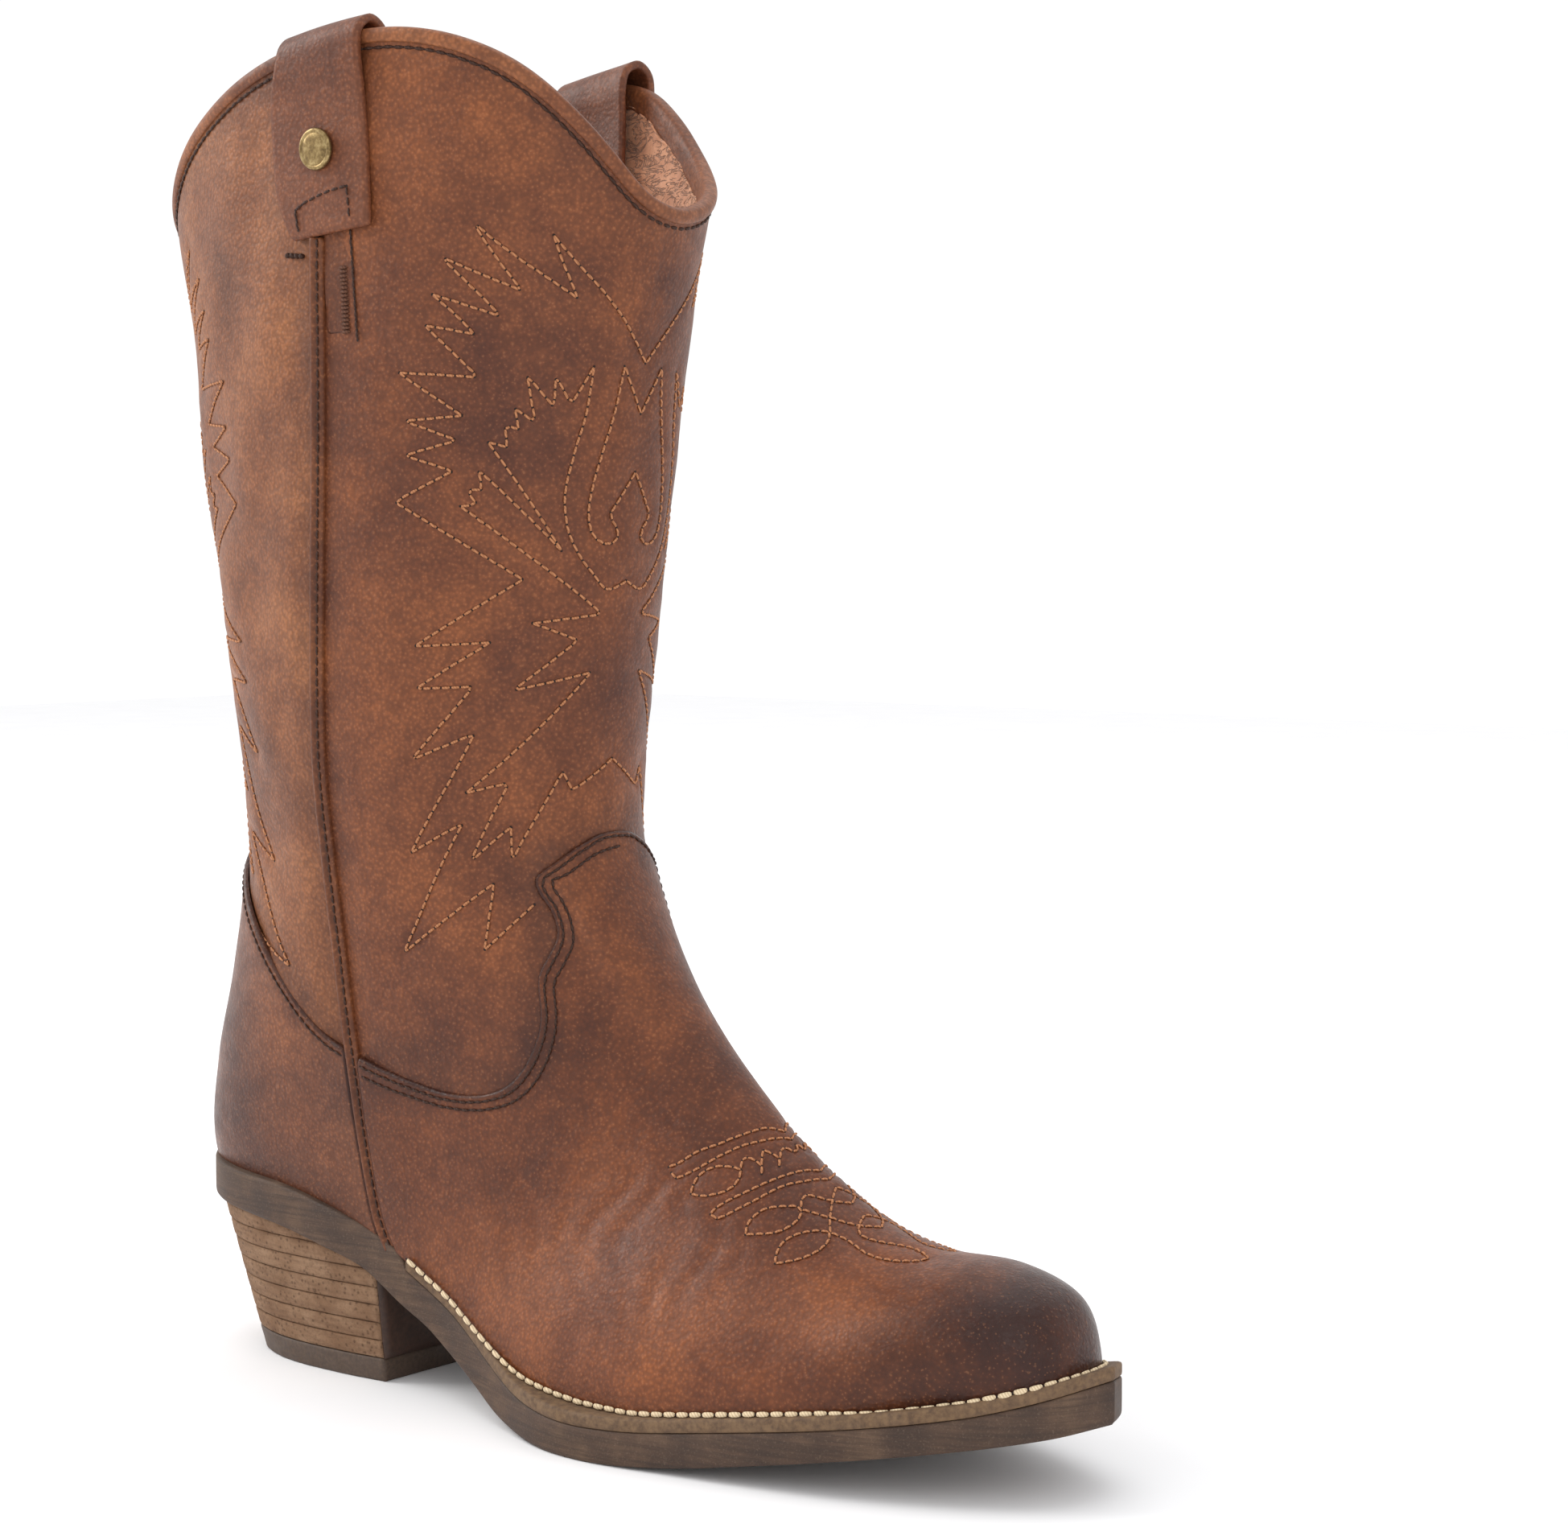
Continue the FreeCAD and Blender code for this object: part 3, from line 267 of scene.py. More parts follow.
ABOVE_FEATHER = chain(FEATHER, ((310, 420), (-60, 420)))
FRONT_OF_SEAM = chain(SEAM, ((310, 370), (310, -50), (100, -50)))
BELOW_VAMP = chain(VAMP_EDGE, ((310, 151), (310, -50), (40, -50), (40, 89)))
BELOW_COUNTER = chain(COUNTER_EDGE, ((95, 89), (95, -50), (-60, -50), (-60, 147)))
BELOW_RIM_LATERAL = chain(RIM_LATERAL, ((310, 280), (310, -50), (-60, -50)))
BELOW_RIM_MEDIAL = chain(RIM_MEDIAL, ((310, 280), (310, -50), (-60, -50)))

f_feather = outline_gap(ABOVE_FEATHER, XG, ZG)
f_front = outline_gap(FRONT_OF_SEAM, XG, ZG)
f_vamp = outline_gap(BELOW_VAMP, XG, ZG)
f_counter = outline_gap(BELOW_COUNTER, XG, ZG)
f_rim = np.where(LATERAL, outline_gap(BELOW_RIM_LATERAL, XG, ZG),
                 outline_gap(BELOW_RIM_MEDIAL, XG, ZG))

# the zip's closing line, on the inner side
ZIP_LOW = np.array((26.578, 35.409, 92.038))
ZIP_SIDE = np.array((0.9990889, -0.0344336, -0.0252143))
ZIP_UP = np.array((0.0283795, 0.0947638, 0.9950952))
ZIP_OUT = np.cross(ZIP_UP, ZIP_SIDE)
ZIP_RUN = 134.65
SLOT = 4.6


def zip_gap(points, half, low, high):
    """Signed distance to the zip's opening: positive outside it."""
    w = (points - ZIP_LOW) @ ZIP_SIDE
    u = (points - ZIP_LOW) @ ZIP_UP
    dw = np.abs(w) - half
    du = np.abs(u - (low + high) / 2) - (high - low) / 2
    gap = np.hypot(np.maximum(dw, 0), np.maximum(du, 0)) + np.minimum(np.maximum(dw, du), 0)
    return np.where(points[..., 1] > 0, gap, 99.0)


f_slot = zip_gap(PG, SLOT, -2.4, ZIP_RUN + 3.7)


# ---------------------------------------------------------------- meshes
ROOT = "root"


def band_faces(rows, wide, closed=False, start=0):
    """Quads between rows of wide points each; closed joins the two ends of every row."""
    faces = []
    for r in range(rows - 1):
        for k in range(wide if closed else wide - 1):
            m = (k + 1) % wide
            near, far = start + r * wide, start + (r + 1) * wide
            faces.append((near + k, near + m, far + m, far + k))
    return faces


def end_faces(rows, wide, start=0):
    """The two faces that close a stack of closed rows."""
    last = start + (rows - 1) * wide
    return [tuple(range(start, start + wide))[::-1], tuple(range(last, last + wide))]


def thicken(obj, thick, offset):
    solid = obj.modifiers.new("thickness", "SOLIDIFY")
    solid.thickness = thick * MM
    solid.offset = offset


def add(name, data):
    obj = bpy.data.objects.new(name, data)
    bpy.context.scene.collection.objects.link(obj)
    return obj


def mesh_object(name, verts, faces, material, nodes=(), body=ROOT, outward=True):
    """Object from vertices in millimetres; rides on its body and stands for CAD nodes."""
    mesh = bpy.data.meshes.new(name)
    mesh.from_pydata([tuple(v) for v in np.asarray(verts) * MM], [], [tuple(f) for f in faces])
    mesh.validate()
    if outward:
        work = bmesh.new()
        work.from_mesh(mesh)
        bmesh.ops.recalc_face_normals(work, faces=work.faces)
        work.to_mesh(mesh)
        work.free()
    mesh.update()
    mesh.polygons.foreach_set("use_smooth", np.ones(len(mesh.polygons), bool))
    obj = add(name, mesh)
    obj.data.materials.append(material)
    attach(obj, body)
    if nodes:
        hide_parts(*nodes)
    return obj


def clip(field, level=0.0):
    """Cells of the fine grid where field > level, cut along the level line.

    Returns station and column of each vertex, the faces, and the boundary loops."""
    rows, cols = field.shape
    f = field - level
    f = np.where(np.abs(f) < 1e-6, 1e-6, f)
    inside = f > 0
    ids = {}
    tq = []

    def corner(r, c):
        key = r * cols + c % cols
        if key not in ids:
            ids[key] = len(tq)
            tq.append((T_FINE[r], float(c % cols)))
        return ids[key]

    def crossing(r0, c0, r1, c1):
        a, b = r0 * cols + c0 % cols, r1 * cols + c1 % cols
        key = (min(a, b), max(a, b))
        if key not in ids:
            fa, fb = f[r0, c0 % cols], f[r1, c1 % cols]
            u = fa / (fa - fb)
            ids[key] = len(tq)
            tq.append((T_FINE[r0] + (T_FINE[r1] - T_FINE[r0]) * u, c0 + (c1 - c0) * u))
        return ids[key]

    wrapped = np.concatenate([inside, inside[:, :1]], axis=1)
    count = (wrapped[:-1, :-1].astype(int) + wrapped[1:, :-1] + wrapped[:-1, 1:]
             + wrapped[1:, 1:])
    faces, links = [], {}
    for r, c in zip(*np.nonzero(count)):
        ring = ((r, c), (r, c + 1), (r + 1, c + 1), (r + 1, c))
        if count[r, c] == 4:
            faces.append([corner(*p) for p in ring])
            continue
        face, cut = [], []
        for k in range(4):
            p, n = ring[k], ring[(k + 1) % 4]
            here, there = inside[p[0], p[1] % cols], inside[n[0], n[1] % cols]
            if here:
                face.append(corner(*p))
            if here != there:
                at = crossing(*p, *n)
                face.append(at)
                cut.append((at, here))
        faces.append(face)
        if len(cut) == 2:
            leave = cut[0][0] if cut[0][1] else cut[1][0]
            enter = cut[1][0] if cut[0][1] else cut[0][0]
            links[leave] = enter
    loops = []
    while links:
        start, nxt = next(iter(links.items()))
        loop = [start]
        while nxt != start and nxt in links:
            loop.append(nxt)
            nxt = links.pop(nxt)
        links.pop(start, None)
        if len(loop) > 8:
            loops.append((loop, nxt == start))
    return np.array(tq), faces, loops


def level_lines(field, level=0.0, keep=None):
    """Lines on the skin where field equals level, as arrays of station and column."""
    tq, _, loops = clip(field, level)
    lines = []
    for loop, closed in loops:
        line = tq[loop + loop[:1]] if closed else tq[loop]
        line = line.copy()
        line[:, 1] = np.unwrap(line[:, 1] * (2 * math.pi / COLS)) * (COLS / (2 * math.pi))
        if keep is None:
            lines.append(line)
            continue
        run = []
        for ok, point in zip([*keep(line), False], [*line, None]):
            if ok:
                run.append(point)
                continue
            if len(run) > 3:
                lines.append(np.array(run))
            run = []
    return lines


EDGE = 0.9
EDGE_RINGS = ((0.62, 0.10), (0.25, 0.36), (0.04, 0.75), (0.0, 1.35))


def leather_sheet(name, field, out, material, nodes, depth=None, rise=None, edge=EDGE,
                  burn=None):
    """Piece of leather on the skin where field > 0, with a rolled edge.

    out is its face's height over the skin; depth rings run from the face down to the
    layer below; rise(t, q, points) adds surface relief."""
    tq, faces, loops = clip(field, edge)
    p, n = skin(tq[:, 0], tq[:, 1])
    height = np.full(len(p), float(out))
    if rise is not None:
        height = height + rise(tq[:, 0], tq[:, 1], p)
    verts = [p + n * height[:, None]]
    count = len(p)
    faces = list(faces)
    for loop, closed in loops:
        ids = np.array(loop)
        here = verts[0][ids]
        ahead, behind = neighbours(here, closed)
        way = np.cross(ahead - behind, n[ids])
        way /= np.linalg.norm(way, axis=1)[:, None] + 1e-12
        last = ids
        for inset, drop in (depth or EDGE_RINGS):
            ring = here + way * (edge - inset) - n[ids] * drop
            verts.append(ring)
            new = count + np.arange(len(ids))
            count += len(ids)
            span = len(ids) if closed else len(ids) - 1
            for k in range(span):
                m = (k + 1) % len(ids)
                faces.append((last[m], last[k], new[k], new[m]))
            last = new
    obj = mesh_object(name, np.vstack(verts), faces, material, nodes, outward=False)
    dark = np.full(len(obj.data.vertices), 0.35)
    if burn is not None:
        dark[:len(tq)] = burn(tq[:, 0], tq[:, 1], p)
        dark[len(tq):] = 0.9
    layer = obj.data.attributes.new("burn", "FLOAT", "POINT")
    layer.data.foreach_set("value", dark.astype(np.float32))
    return obj


# ---------------------------------------------------------------- materials
def tone(r, g, b):
    """Linear colour from screen values 0 to 255."""
    return tuple(((c / 255 + 0.055) / 1.055) ** 2.4 if c > 10 else c / 255 / 12.92
                 for c in (r, g, b)) + (1.0,)


class Maker:
    """Short names for the nodes of one procedural material."""

    def __init__(self, name, roughness=0.5, metallic=0.0, specular=0.5):
        self.mat = bpy.data.materials.new(name)
        self.mat.use_nodes = True
        self.tree = self.mat.node_tree
        self.tree.nodes.clear()
        self.out = self.tree.nodes.new("ShaderNodeOutputMaterial")
        self.shader = self.tree.nodes.new("ShaderNodeBsdfPrincipled")
        self.tree.links.new(self.shader.outputs[0], self.out.inputs[0])
        self.shader.inputs["Roughness"].default_value = roughness
        self.shader.inputs["Metallic"].default_value = metallic
        self.shader.inputs["Specular IOR Level"].default_value = specular
        self.place = self.tree.nodes.new("ShaderNodeTexCoord").outputs["Object"]

    def put(self, socket, value):
        if isinstance(value, bpy.types.NodeSocket):
            self.tree.links.new(value, socket)
        else:
            socket.default_value = value

    def stretch(self, x, y, z):
        node = self.tree.nodes.new("ShaderNodeMapping")
        self.tree.links.new(self.place, node.inputs[0])
        node.inputs["Scale"].default_value = (x, y, z)
        return node.outputs[0]

    def noise(self, size, detail=4.0, rough=0.55, at=None, distortion=0.0):
        """Noise whose blotches are about size millimetres across."""
        node = self.tree.nodes.new("ShaderNodeTexNoise")
        self.tree.links.new(at or self.place, node.inputs["Vector"])
        node.inputs["Scale"].default_value = 1000.0 / size
        node.inputs["Detail"].default_value = detail
        node.inputs["Roughness"].default_value = rough
        node.inputs["Distortion"].default_value = distortion
        return node.outputs[0]

    def cells(self, size, feature="F1"):
        node = self.tree.nodes.new("ShaderNodeTexVoronoi")
        node.feature = feature
        self.tree.links.new(self.place, node.inputs["Vector"])
        node.inputs["Scale"].default_value = 1000.0 / size
        return node.outputs["Distance"]

    def wave(self, size, direction, distortion):
        node = self.tree.nodes.new("ShaderNodeTexWave")
        node.bands_direction = direction
        self.tree.links.new(self.place, node.inputs["Vector"])
        node.inputs["Scale"].default_value = 1000.0 / size / 3.18
        node.inputs["Distortion"].default_value = distortion
        return node.outputs[1]

    def attribute(self, name):
        node = self.tree.nodes.new("ShaderNodeAttribute")
        node.attribute_name = name
        return node.outputs["Fac"]

    def sum(self, kind, a, b, clamp=False):
        node = self.tree.nodes.new("ShaderNodeMath")
        node.operation = kind
        node.use_clamp = clamp
        self.put(node.inputs[0], a)
        self.put(node.inputs[1], b)
        return node.outputs[0]

    def span(self, value, low, high, to_low=0.0, to_high=1.0):
        node = self.tree.nodes.new("ShaderNodeMapRange")
        self.put(node.inputs[0], value)
        for k, v in enumerate((low, high, to_low, to_high), 1):
            node.inputs[k].default_value = v
        return node.outputs[0]

    def ramp(self, value, *stops):
        node = self.tree.nodes.new("ShaderNodeValToRGB")
        self.put(node.inputs[0], value)
        elements = node.color_ramp.elements
        while len(elements) < len(stops):
            elements.new(0.5)
        for element, (at, colour) in zip(elements, stops):
            element.position = at
            element.color = colour
        return node.outputs[0]

    def mix(self, amount, a, b):
        node = self.tree.nodes.new("ShaderNodeMix")
        node.data_type = "RGBA"
        self.put(node.inputs[0], amount)
        self.put(node.inputs[6], a)
        self.put(node.inputs[7], b)
        return node.outputs[2]

    def bump(self, height, depth, strength=1.0, under=None):
        """Relief of depth millimetres."""
        node = self.tree.nodes.new("ShaderNodeBump")
        self.put(node.inputs["Height"], height)
        node.inputs["Distance"].default_value = depth * MM
        node.inputs["Strength"].default_value = strength
        if under is not None:
            self.tree.links.new(under, node.inputs["Normal"])
        return node.outputs[0]

    def finish(self, colour, roughness=None, normal=None):
        self.put(self.shader.inputs["Base Color"], colour)
        if roughness is not None:
            self.put(self.shader.inputs["Roughness"], roughness)
        if normal is not None:
            self.put(self.shader.inputs["Normal"], normal)
        return self.mat


def leather(name, dark, mid, light, burnt, gloss=0.44, grain=0.20, cell=0.95):
    """Waxed leather: cloudy colour, pebble grain, fine creases, burnished where worn."""
    m = Maker(name, gloss, specular=0.25)
    m.shader.inputs["Coat Weight"].default_value = 0.06
    m.shader.inputs["Coat Roughness"].default_value = 0.35
    cloud = m.noise(58, 3.0, 0.5, distortion=0.5)
    patch = m.noise(21, 5.0, 0.62)
    tint = m.sum("ADD", m.sum("MULTIPLY", cloud, 0.58), m.sum("MULTIPLY", patch, 0.42))
    base = m.ramp(tint, (0.36, dark), (0.49, mid), (0.63, light))
    mottle = m.noise(5.5, 6.0, 0.70)
    base = m.mix(m.span(mottle, 0.42, 0.70, 0.0, 0.38), base, dark)
    base = m.mix(m.span(mottle, 0.46, 0.30, 0.0, 0.22), base, light)
    burn = m.attribute("burn")
    smoky = m.sum("MULTIPLY", burn, m.span(patch, 0.25, 0.7, 1.25, 0.70), True)
    base = m.mix(smoky, base, burnt)
    pebble = m.cells(cell, "SMOOTH_F1")
    fine = m.noise(0.42, 3.0, 0.65)
    speck = m.sum("ADD", m.sum("MULTIPLY", m.span(pebble, 0.12, 0.6, 0.0, 1.0), 0.6),
                  m.sum("MULTIPLY", fine, 0.4))
    base = m.mix(m.span(speck, 0.35, 0.75, 0.0, 0.34), base, tone(44, 24, 17))
    base = m.mix(m.span(speck, 0.34, 0.16, 0.0, 0.22), base, tone(176, 122, 82))
    crease = m.span(m.noise(7.0, 9.0, 0.72, distortion=1.4), 0.475, 0.525, 0.0, 1.0)
    scuff = m.span(m.noise(1.6, 6.0, 0.8, at=m.stretch(1.0, 1.0, 0.45)), 0.64, 0.80, 0.0, 0.10)
    base = m.mix(scuff, base, tone(178, 122, 80))
    relief = m.bump(pebble, -grain, 0.95)
    relief = m.bump(fine, grain * 0.5, 0.8, relief)
    relief = m.bump(crease, 0.12, 0.35, relief)
    shine = m.span(m.sum("ADD", mottle, m.sum("MULTIPLY", burn, -0.30)), 0.1, 0.8,
                   gloss - 0.12, gloss + 0.14)
    return m.finish(base, shine, relief)


BURNT = tone(50, 24, 18)
vamp_leather = leather("vamp_leather", tone(83, 43, 26), tone(113, 61, 34), tone(139, 78, 41),
                       BURNT, gloss=0.40, grain=0.15)
counter_leather = leather("counter_leather", tone(90, 50, 34), tone(124, 72, 44),
                          tone(150, 91, 55), BURNT, gloss=0.42, grain=0.15)
shaft_leather = leather("shaft_leather", tone(86, 46, 31), tone(118, 66, 39), tone(146, 84, 47),
                        tone(62, 33, 24))
# back panel: a lighter copy of the shaft leather, painted light for the light falling on the back
# of the shaft
lit_back_leather = leather("shaft_back_leather", tone(96, 56, 37), tone(132, 79, 48),
                       tone(160, 101, 61), tone(74, 42, 29))
piping_leather = leather("piping_leather", tone(78, 42, 26), tone(106, 59, 34),
                         tone(130, 77, 44), BURNT, grain=0.10)
binding_leather = leather("binding_leather", tone(94, 53, 34), tone(126, 73, 44),
                          tone(154, 95, 58), BURNT, grain=0.08)
strap_leather = leather("strap_leather", tone(88, 49, 34), tone(112, 64, 41), tone(132, 78, 50),
                        BURNT, grain=0.16)


def lining_hide():
    m = Maker("lining_leather", 0.72, specular=0.3)
    m.shader.inputs["Sheen Weight"].default_value = 0.25
    m.shader.inputs["Sheen Roughness"].default_value = 0.5
    cloud = m.noise(22, 5.0, 0.6)
    base = m.ramp(cloud, (0.35, tone(172, 114, 82)), (0.5, tone(200, 140, 104)),
                  (0.66, tone(222, 164, 126)))
    nap = m.noise(0.7, 5.0, 0.7)
    base = m.mix(m.span(nap, 0.35, 0.7, 0.0, 0.25), base, tone(128, 84, 62))
    crumple = m.noise(7.0, 4.0, 0.6, at=m.stretch(0.8, 0.8, 2.2), distortion=1.6)
    middle = m.sum("SUBTRACT", crumple, 0.5)
    valley = m.span(m.sum("MULTIPLY", middle, middle), 0.0, 0.0011, 1.0, 0.0)
    # painted shade: the lining is darkened in the valleys of its crumple, where its creases fall in
    # shade
    base = m.mix(m.sum("MULTIPLY", valley, 0.42), base, tone(92, 54, 38))
    relief = m.bump(m.cells(1.3, "SMOOTH_F1"), -0.14, 0.8)
    relief = m.bump(nap, 0.12, 0.8, relief)
    relief = m.bump(valley, -0.8, 0.8, relief)
    return m.finish(base, None, relief)


def thread(name, colour, shade):
    m = Maker(name, 0.62, specular=0.3)
    twist = m.wave(0.55, "DIAGONAL", 1.5)
    base = m.mix(m.span(twist, 0.2, 0.8, 0.0, 0.55), colour, shade)
    return m.finish(base, None, m.bump(twist, 0.10, 0.7))


def plain(name, colour, roughness, second, size=1.2, depth=0.05, metallic=0.0):
    """Small part: a colour with fine variation and relief of its own."""
    m = Maker(name, roughness, metallic)
    grain = m.noise(size, 4.0, 0.6)
    base = m.mix(m.span(grain, 0.35, 0.68), colour, second)
    rough = m.span(m.noise(size * 4, 3.0), 0.3, 0.7, roughness - 0.06, roughness + 0.10)
    return m.finish(base, rough, m.bump(grain, depth, 0.6))


def sole_rubber():
    m = Maker("outsole_rubber", 0.62, specular=0.35)
    cloud = m.noise(14, 5.0, 0.6)
    streak = m.noise(2.0, 5.0, 0.7, at=m.stretch(0.06, 0.06, 1.6))
    base = m.ramp(cloud, (0.35, tone(62, 45, 35)), (0.52, tone(80, 60, 47)),
                  (0.68, tone(100, 78, 61)))
    base = m.mix(m.span(streak, 0.42, 0.62, 0.0, 0.6), base, tone(50, 37, 30))
    speck = m.noise(0.5, 3.0, 0.6)
    base = m.mix(m.span(speck, 0.55, 0.75, 0.0, 0.4), base, tone(124, 104, 86))
    relief = m.bump(streak, 0.28, 0.8)
    relief = m.bump(speck, 0.10, 0.6, relief)
    return m.finish(base, m.span(cloud, 0.3, 0.7, 0.52, 0.74), relief)


def stacked():
    """Edge of pressed leather board in thin plies, sanded and dull."""
    m = Maker("stack_leather", 0.82, specular=0.2)
    plies = m.noise(1.15, 3.0, 0.6, at=m.stretch(0.10, 0.10, 1.0))
    rough = m.noise(1.1, 6.0, 0.8)
    pits = m.cells(1.7, "F1")
    cloud = m.noise(9, 5.0, 0.6)
    base = m.ramp(cloud, (0.34, tone(128, 97, 73)), (0.5, tone(140, 109, 84)),
                  (0.66, tone(154, 123, 97)))
    base = m.mix(m.span(plies, 0.45, 0.66, 0.0, 0.34), base, tone(98, 70, 52))
    base = m.mix(m.span(rough, 0.50, 0.72, 0.0, 0.60), base, tone(84, 60, 44))
    base = m.mix(m.span(pits, 0.34, 0.12, 0.0, 0.6), base, tone(66, 44, 32))
    relief = m.bump(plies, 0.25, 0.9)
    relief = m.bump(rough, 0.60, 0.9, relief)
    return m.finish(base, None, relief)


def woven(name, colour, shade, size=0.9):
    m = Maker(name, 0.78, specular=0.2)
    over = m.wave(size, "X", 0.3)
    under = m.wave(size, "Z", 0.3)
    weave = m.sum("MULTIPLY", over, under)
    base = m.mix(m.span(weave, 0.05, 0.6), shade, colour)
    return m.finish(base, None, m.bump(weave, 0.16, 0.9))


def brass():
    m = Maker("rivet_brass", 0.34, 0.95)
    tarnish = m.noise(1.6, 5.0, 0.65)
    base = m.ramp(tarnish, (0.34, tone(98, 80, 54)), (0.5, tone(136, 114, 76)),
                  (0.68, tone(174, 152, 108)))
    return m.finish(base, m.span(tarnish, 0.3, 0.7, 0.5, 0.30), m.bump(tarnish, 0.012, 0.5))


lining_leather = lining_hide()
guard_leather = leather("guard_leather", tone(84, 50, 34), tone(108, 68, 46), tone(128, 84, 58),
                        BURNT, grain=0.10)
tan_thread = thread("tan_thread", tone(182, 124, 84), tone(132, 82, 54))
dark_thread = thread("dark_thread", tone(62, 36, 24), tone(32, 19, 13))
piping_thread = thread("piping_thread", tone(98, 60, 40), tone(62, 36, 25))
pale_thread = thread("pale_thread", tone(226, 206, 172), tone(172, 146, 112))
# needle holes: dark discs of painted shade for the pits where the thread goes in
hole_shade = plain("needle_hole_shade", tone(40, 21, 13), 0.85, tone(26, 14, 9))
outsole_rubber = sole_rubber()
stack_leather = stacked()
# heel breast: a dark rubber-like colour, painted shade for the front of the heel, which lies in
# shadow
breast_shade = plain("breast_shade", tone(70, 46, 34), 0.55, tone(54, 35, 26), 1.2, 0.10)
top_rubber = plain("top_piece_rubber", tone(66, 50, 40), 0.6, tone(86, 68, 54), 1.0, 0.12)
welt_leather = plain("welt_leather", tone(116, 90, 63), 0.75, tone(84, 63, 46), 1.6, 0.22)
zip_cloth = woven("zip_tape", tone(74, 46, 34), tone(38, 24, 18))
coil_plastic = plain("zip_coil", tone(34, 24, 20), 0.35, tone(56, 40, 32), 0.8, 0.03)
zip_metal = plain("zip_metal", tone(150, 130, 96), 0.32, tone(96, 80, 58), 1.2, 0.03, 1.0)
board = plain("insole_board", tone(168, 140, 108), 0.85, tone(140, 112, 84), 1.0, 0.1)
cork = plain("cork", tone(150, 108, 70), 0.9, tone(104, 70, 44), 1.8, 0.3)
steel = plain("shank_steel", tone(150, 150, 152), 0.3, tone(120, 120, 124), 2.0, 0.02, 1.0)
nail_steel = plain("nail_steel", tone(120, 118, 116), 0.4, tone(90, 88, 86), 1.0, 0.02, 1.0)
interlining = woven("interlining_cloth", tone(206, 196, 178), tone(160, 150, 132), 1.1)
stiffener = plain("stiffener_sheet", tone(190, 176, 150), 0.8, tone(160, 146, 120), 1.0, 0.05)
brass_metal = brass()

# hard parts that show as their CAD solids
for material, nodes in (
        (cork, ("cork_filler",)), (stiffener, ("counter_stiffener", "toe_puff")),
        (nail_steel, ("heel_nails",)), (board, ("insole",)), (steel, ("shank",)),
        (interlining, ("vamp_interlining",)),
        (zip_metal, ("zip_bottom_stop", "zip_top_stop", "zip_slider", "zip_pull")),
        (brass_metal, ("rivet_washer_lateral", "rivet_washer_medial", "strap_rivet_lateral",
                       "strap_rivet_medial"))):
    for node in nodes:
        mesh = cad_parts[node].data
        mesh.materials.clear()
        mesh.materials.append(material)


# ---------------------------------------------------------------- stitching
# pitch, thread width and needle hole radius (a disc of painted shade) of each kind of stitch
SEAM_STITCH = (2.6, 0.62, 0.44)
EDGE_STITCH = (2.5, 0.60, 0.36)
RIM_STITCH = (3.0, 0.72, 0.34)
ZIP_STITCH = (2.6, 0.60, 0.34)
BOX_STITCH = (2.6, 0.60, 0.40)
PIPING_STITCH = (2.7, 0.62, 0.36)
SHAFT_STITCH = (2.5, 0.60, 0.42)
TOE_STITCH = (2.3, 0.56, 0.36)
WELT_STITCH = (3.7, 1.25, 0.50)
RIB_STITCH = (3.0, 0.72, 0)
BAR_STITCH = (1.7, 1.15, 0)
STITCH_RINGS = ((-0.5, -0.16, 0.30), (-0.40, 0.10, 0.80), (-0.15, 0.26, 1.0), (0.15, 0.26, 1.0),
                (0.40, 0.10, 0.80), (0.5, -0.16, 0.30))
SIDES, HOLE_SIDES = 6, 7


class Stitches:
    """Many short thread stitches, and dark discs of painted shade for the needle holes between
    them, as two meshes.
    """

    def __init__(self):
        self.verts, self.faces = [], []
        self.hole_verts, self.hole_faces = [], []

    def one(self, a, b, na, nb, width):
        along = b - a
        length = np.linalg.norm(along)
        if length < 0.3:
            return
        along = along / length
        n = (na + nb) / 2
        n = n - along * (n @ along)
        n /= np.linalg.norm(n)
        across = np.cross(n, along)
        mid = (a + b) / 2
        start = len(self.verts)
        jitter = rng.uniform(-0.06, 0.06, 2)
        for at, rise, size in STITCH_RINGS:
            centre = mid + along * at * length * 0.90 + n * rise + across * jitter[0]
            for k in range(SIDES):
                turn = 2 * math.pi * k / SIDES
                ring = across * math.cos(turn) * 1.15 + n * math.sin(turn) * 0.85
                self.verts.append(centre + ring * (width / 2 * size))
        self.faces += band_faces(len(STITCH_RINGS), SIDES, True, start)
        self.faces += end_faces(len(STITCH_RINGS), SIDES, start)

    def hole(self, at, n, along, size):
        across = np.cross(n, along)
        start = len(self.hole_verts)
        self.hole_verts.append(at + n * 0.02)
        for k in range(HOLE_SIDES):
            turn = 2 * math.pi * k / HOLE_SIDES
            reach = (along * math.cos(turn) + across * math.sin(turn) * 0.8) * size
            self.hole_verts.append(at + reach + n * 0.05)
        for k in range(HOLE_SIDES):
            self.hole_faces.append((start, start + 1 + k, start + 1 + (k + 1) % HOLE_SIDES))

    def run(self, points, normals, pitch, width, hole):
        """Even stitches along a dense line of points."""
        gap = run_along(points)
        count = max(int(round(gap[-1] / pitch)), 1)
        marks = np.linspace(0, gap[-1], count + 1)
        at = resample(marks, gap, points)
        n = unit(resample(marks, gap, normals))
        for k in range(count):
            self.one(at[k], at[k + 1], n[k], n[k + 1], width)
        if hole:
            for k in range(count + 1):
                along = at[min(k + 1, count)] - at[max(k - 1, 0)]
                along /= np.linalg.norm(along) + 1e-9
                self.hole(at[k], n[k], along, hole)

    def on_skin(self, line, out, rise, stitch):
        """Stitches along a line of stations and columns, lying on leather of that relief."""
        dense = with_more_points(line)
        p, n = skin(dense[:, 0], dense[:, 1])
        height = out + rise(dense[:, 0], dense[:, 1], p)
        self.run(p + n * height[:, None], n, *stitch)

    def finish(self, name, material, slot):
        mesh_object(name, self.verts, self.faces, material)
        if self.hole_verts:
            mesh_object(name + "_holes", self.hole_verts, self.hole_faces, hole_shade)


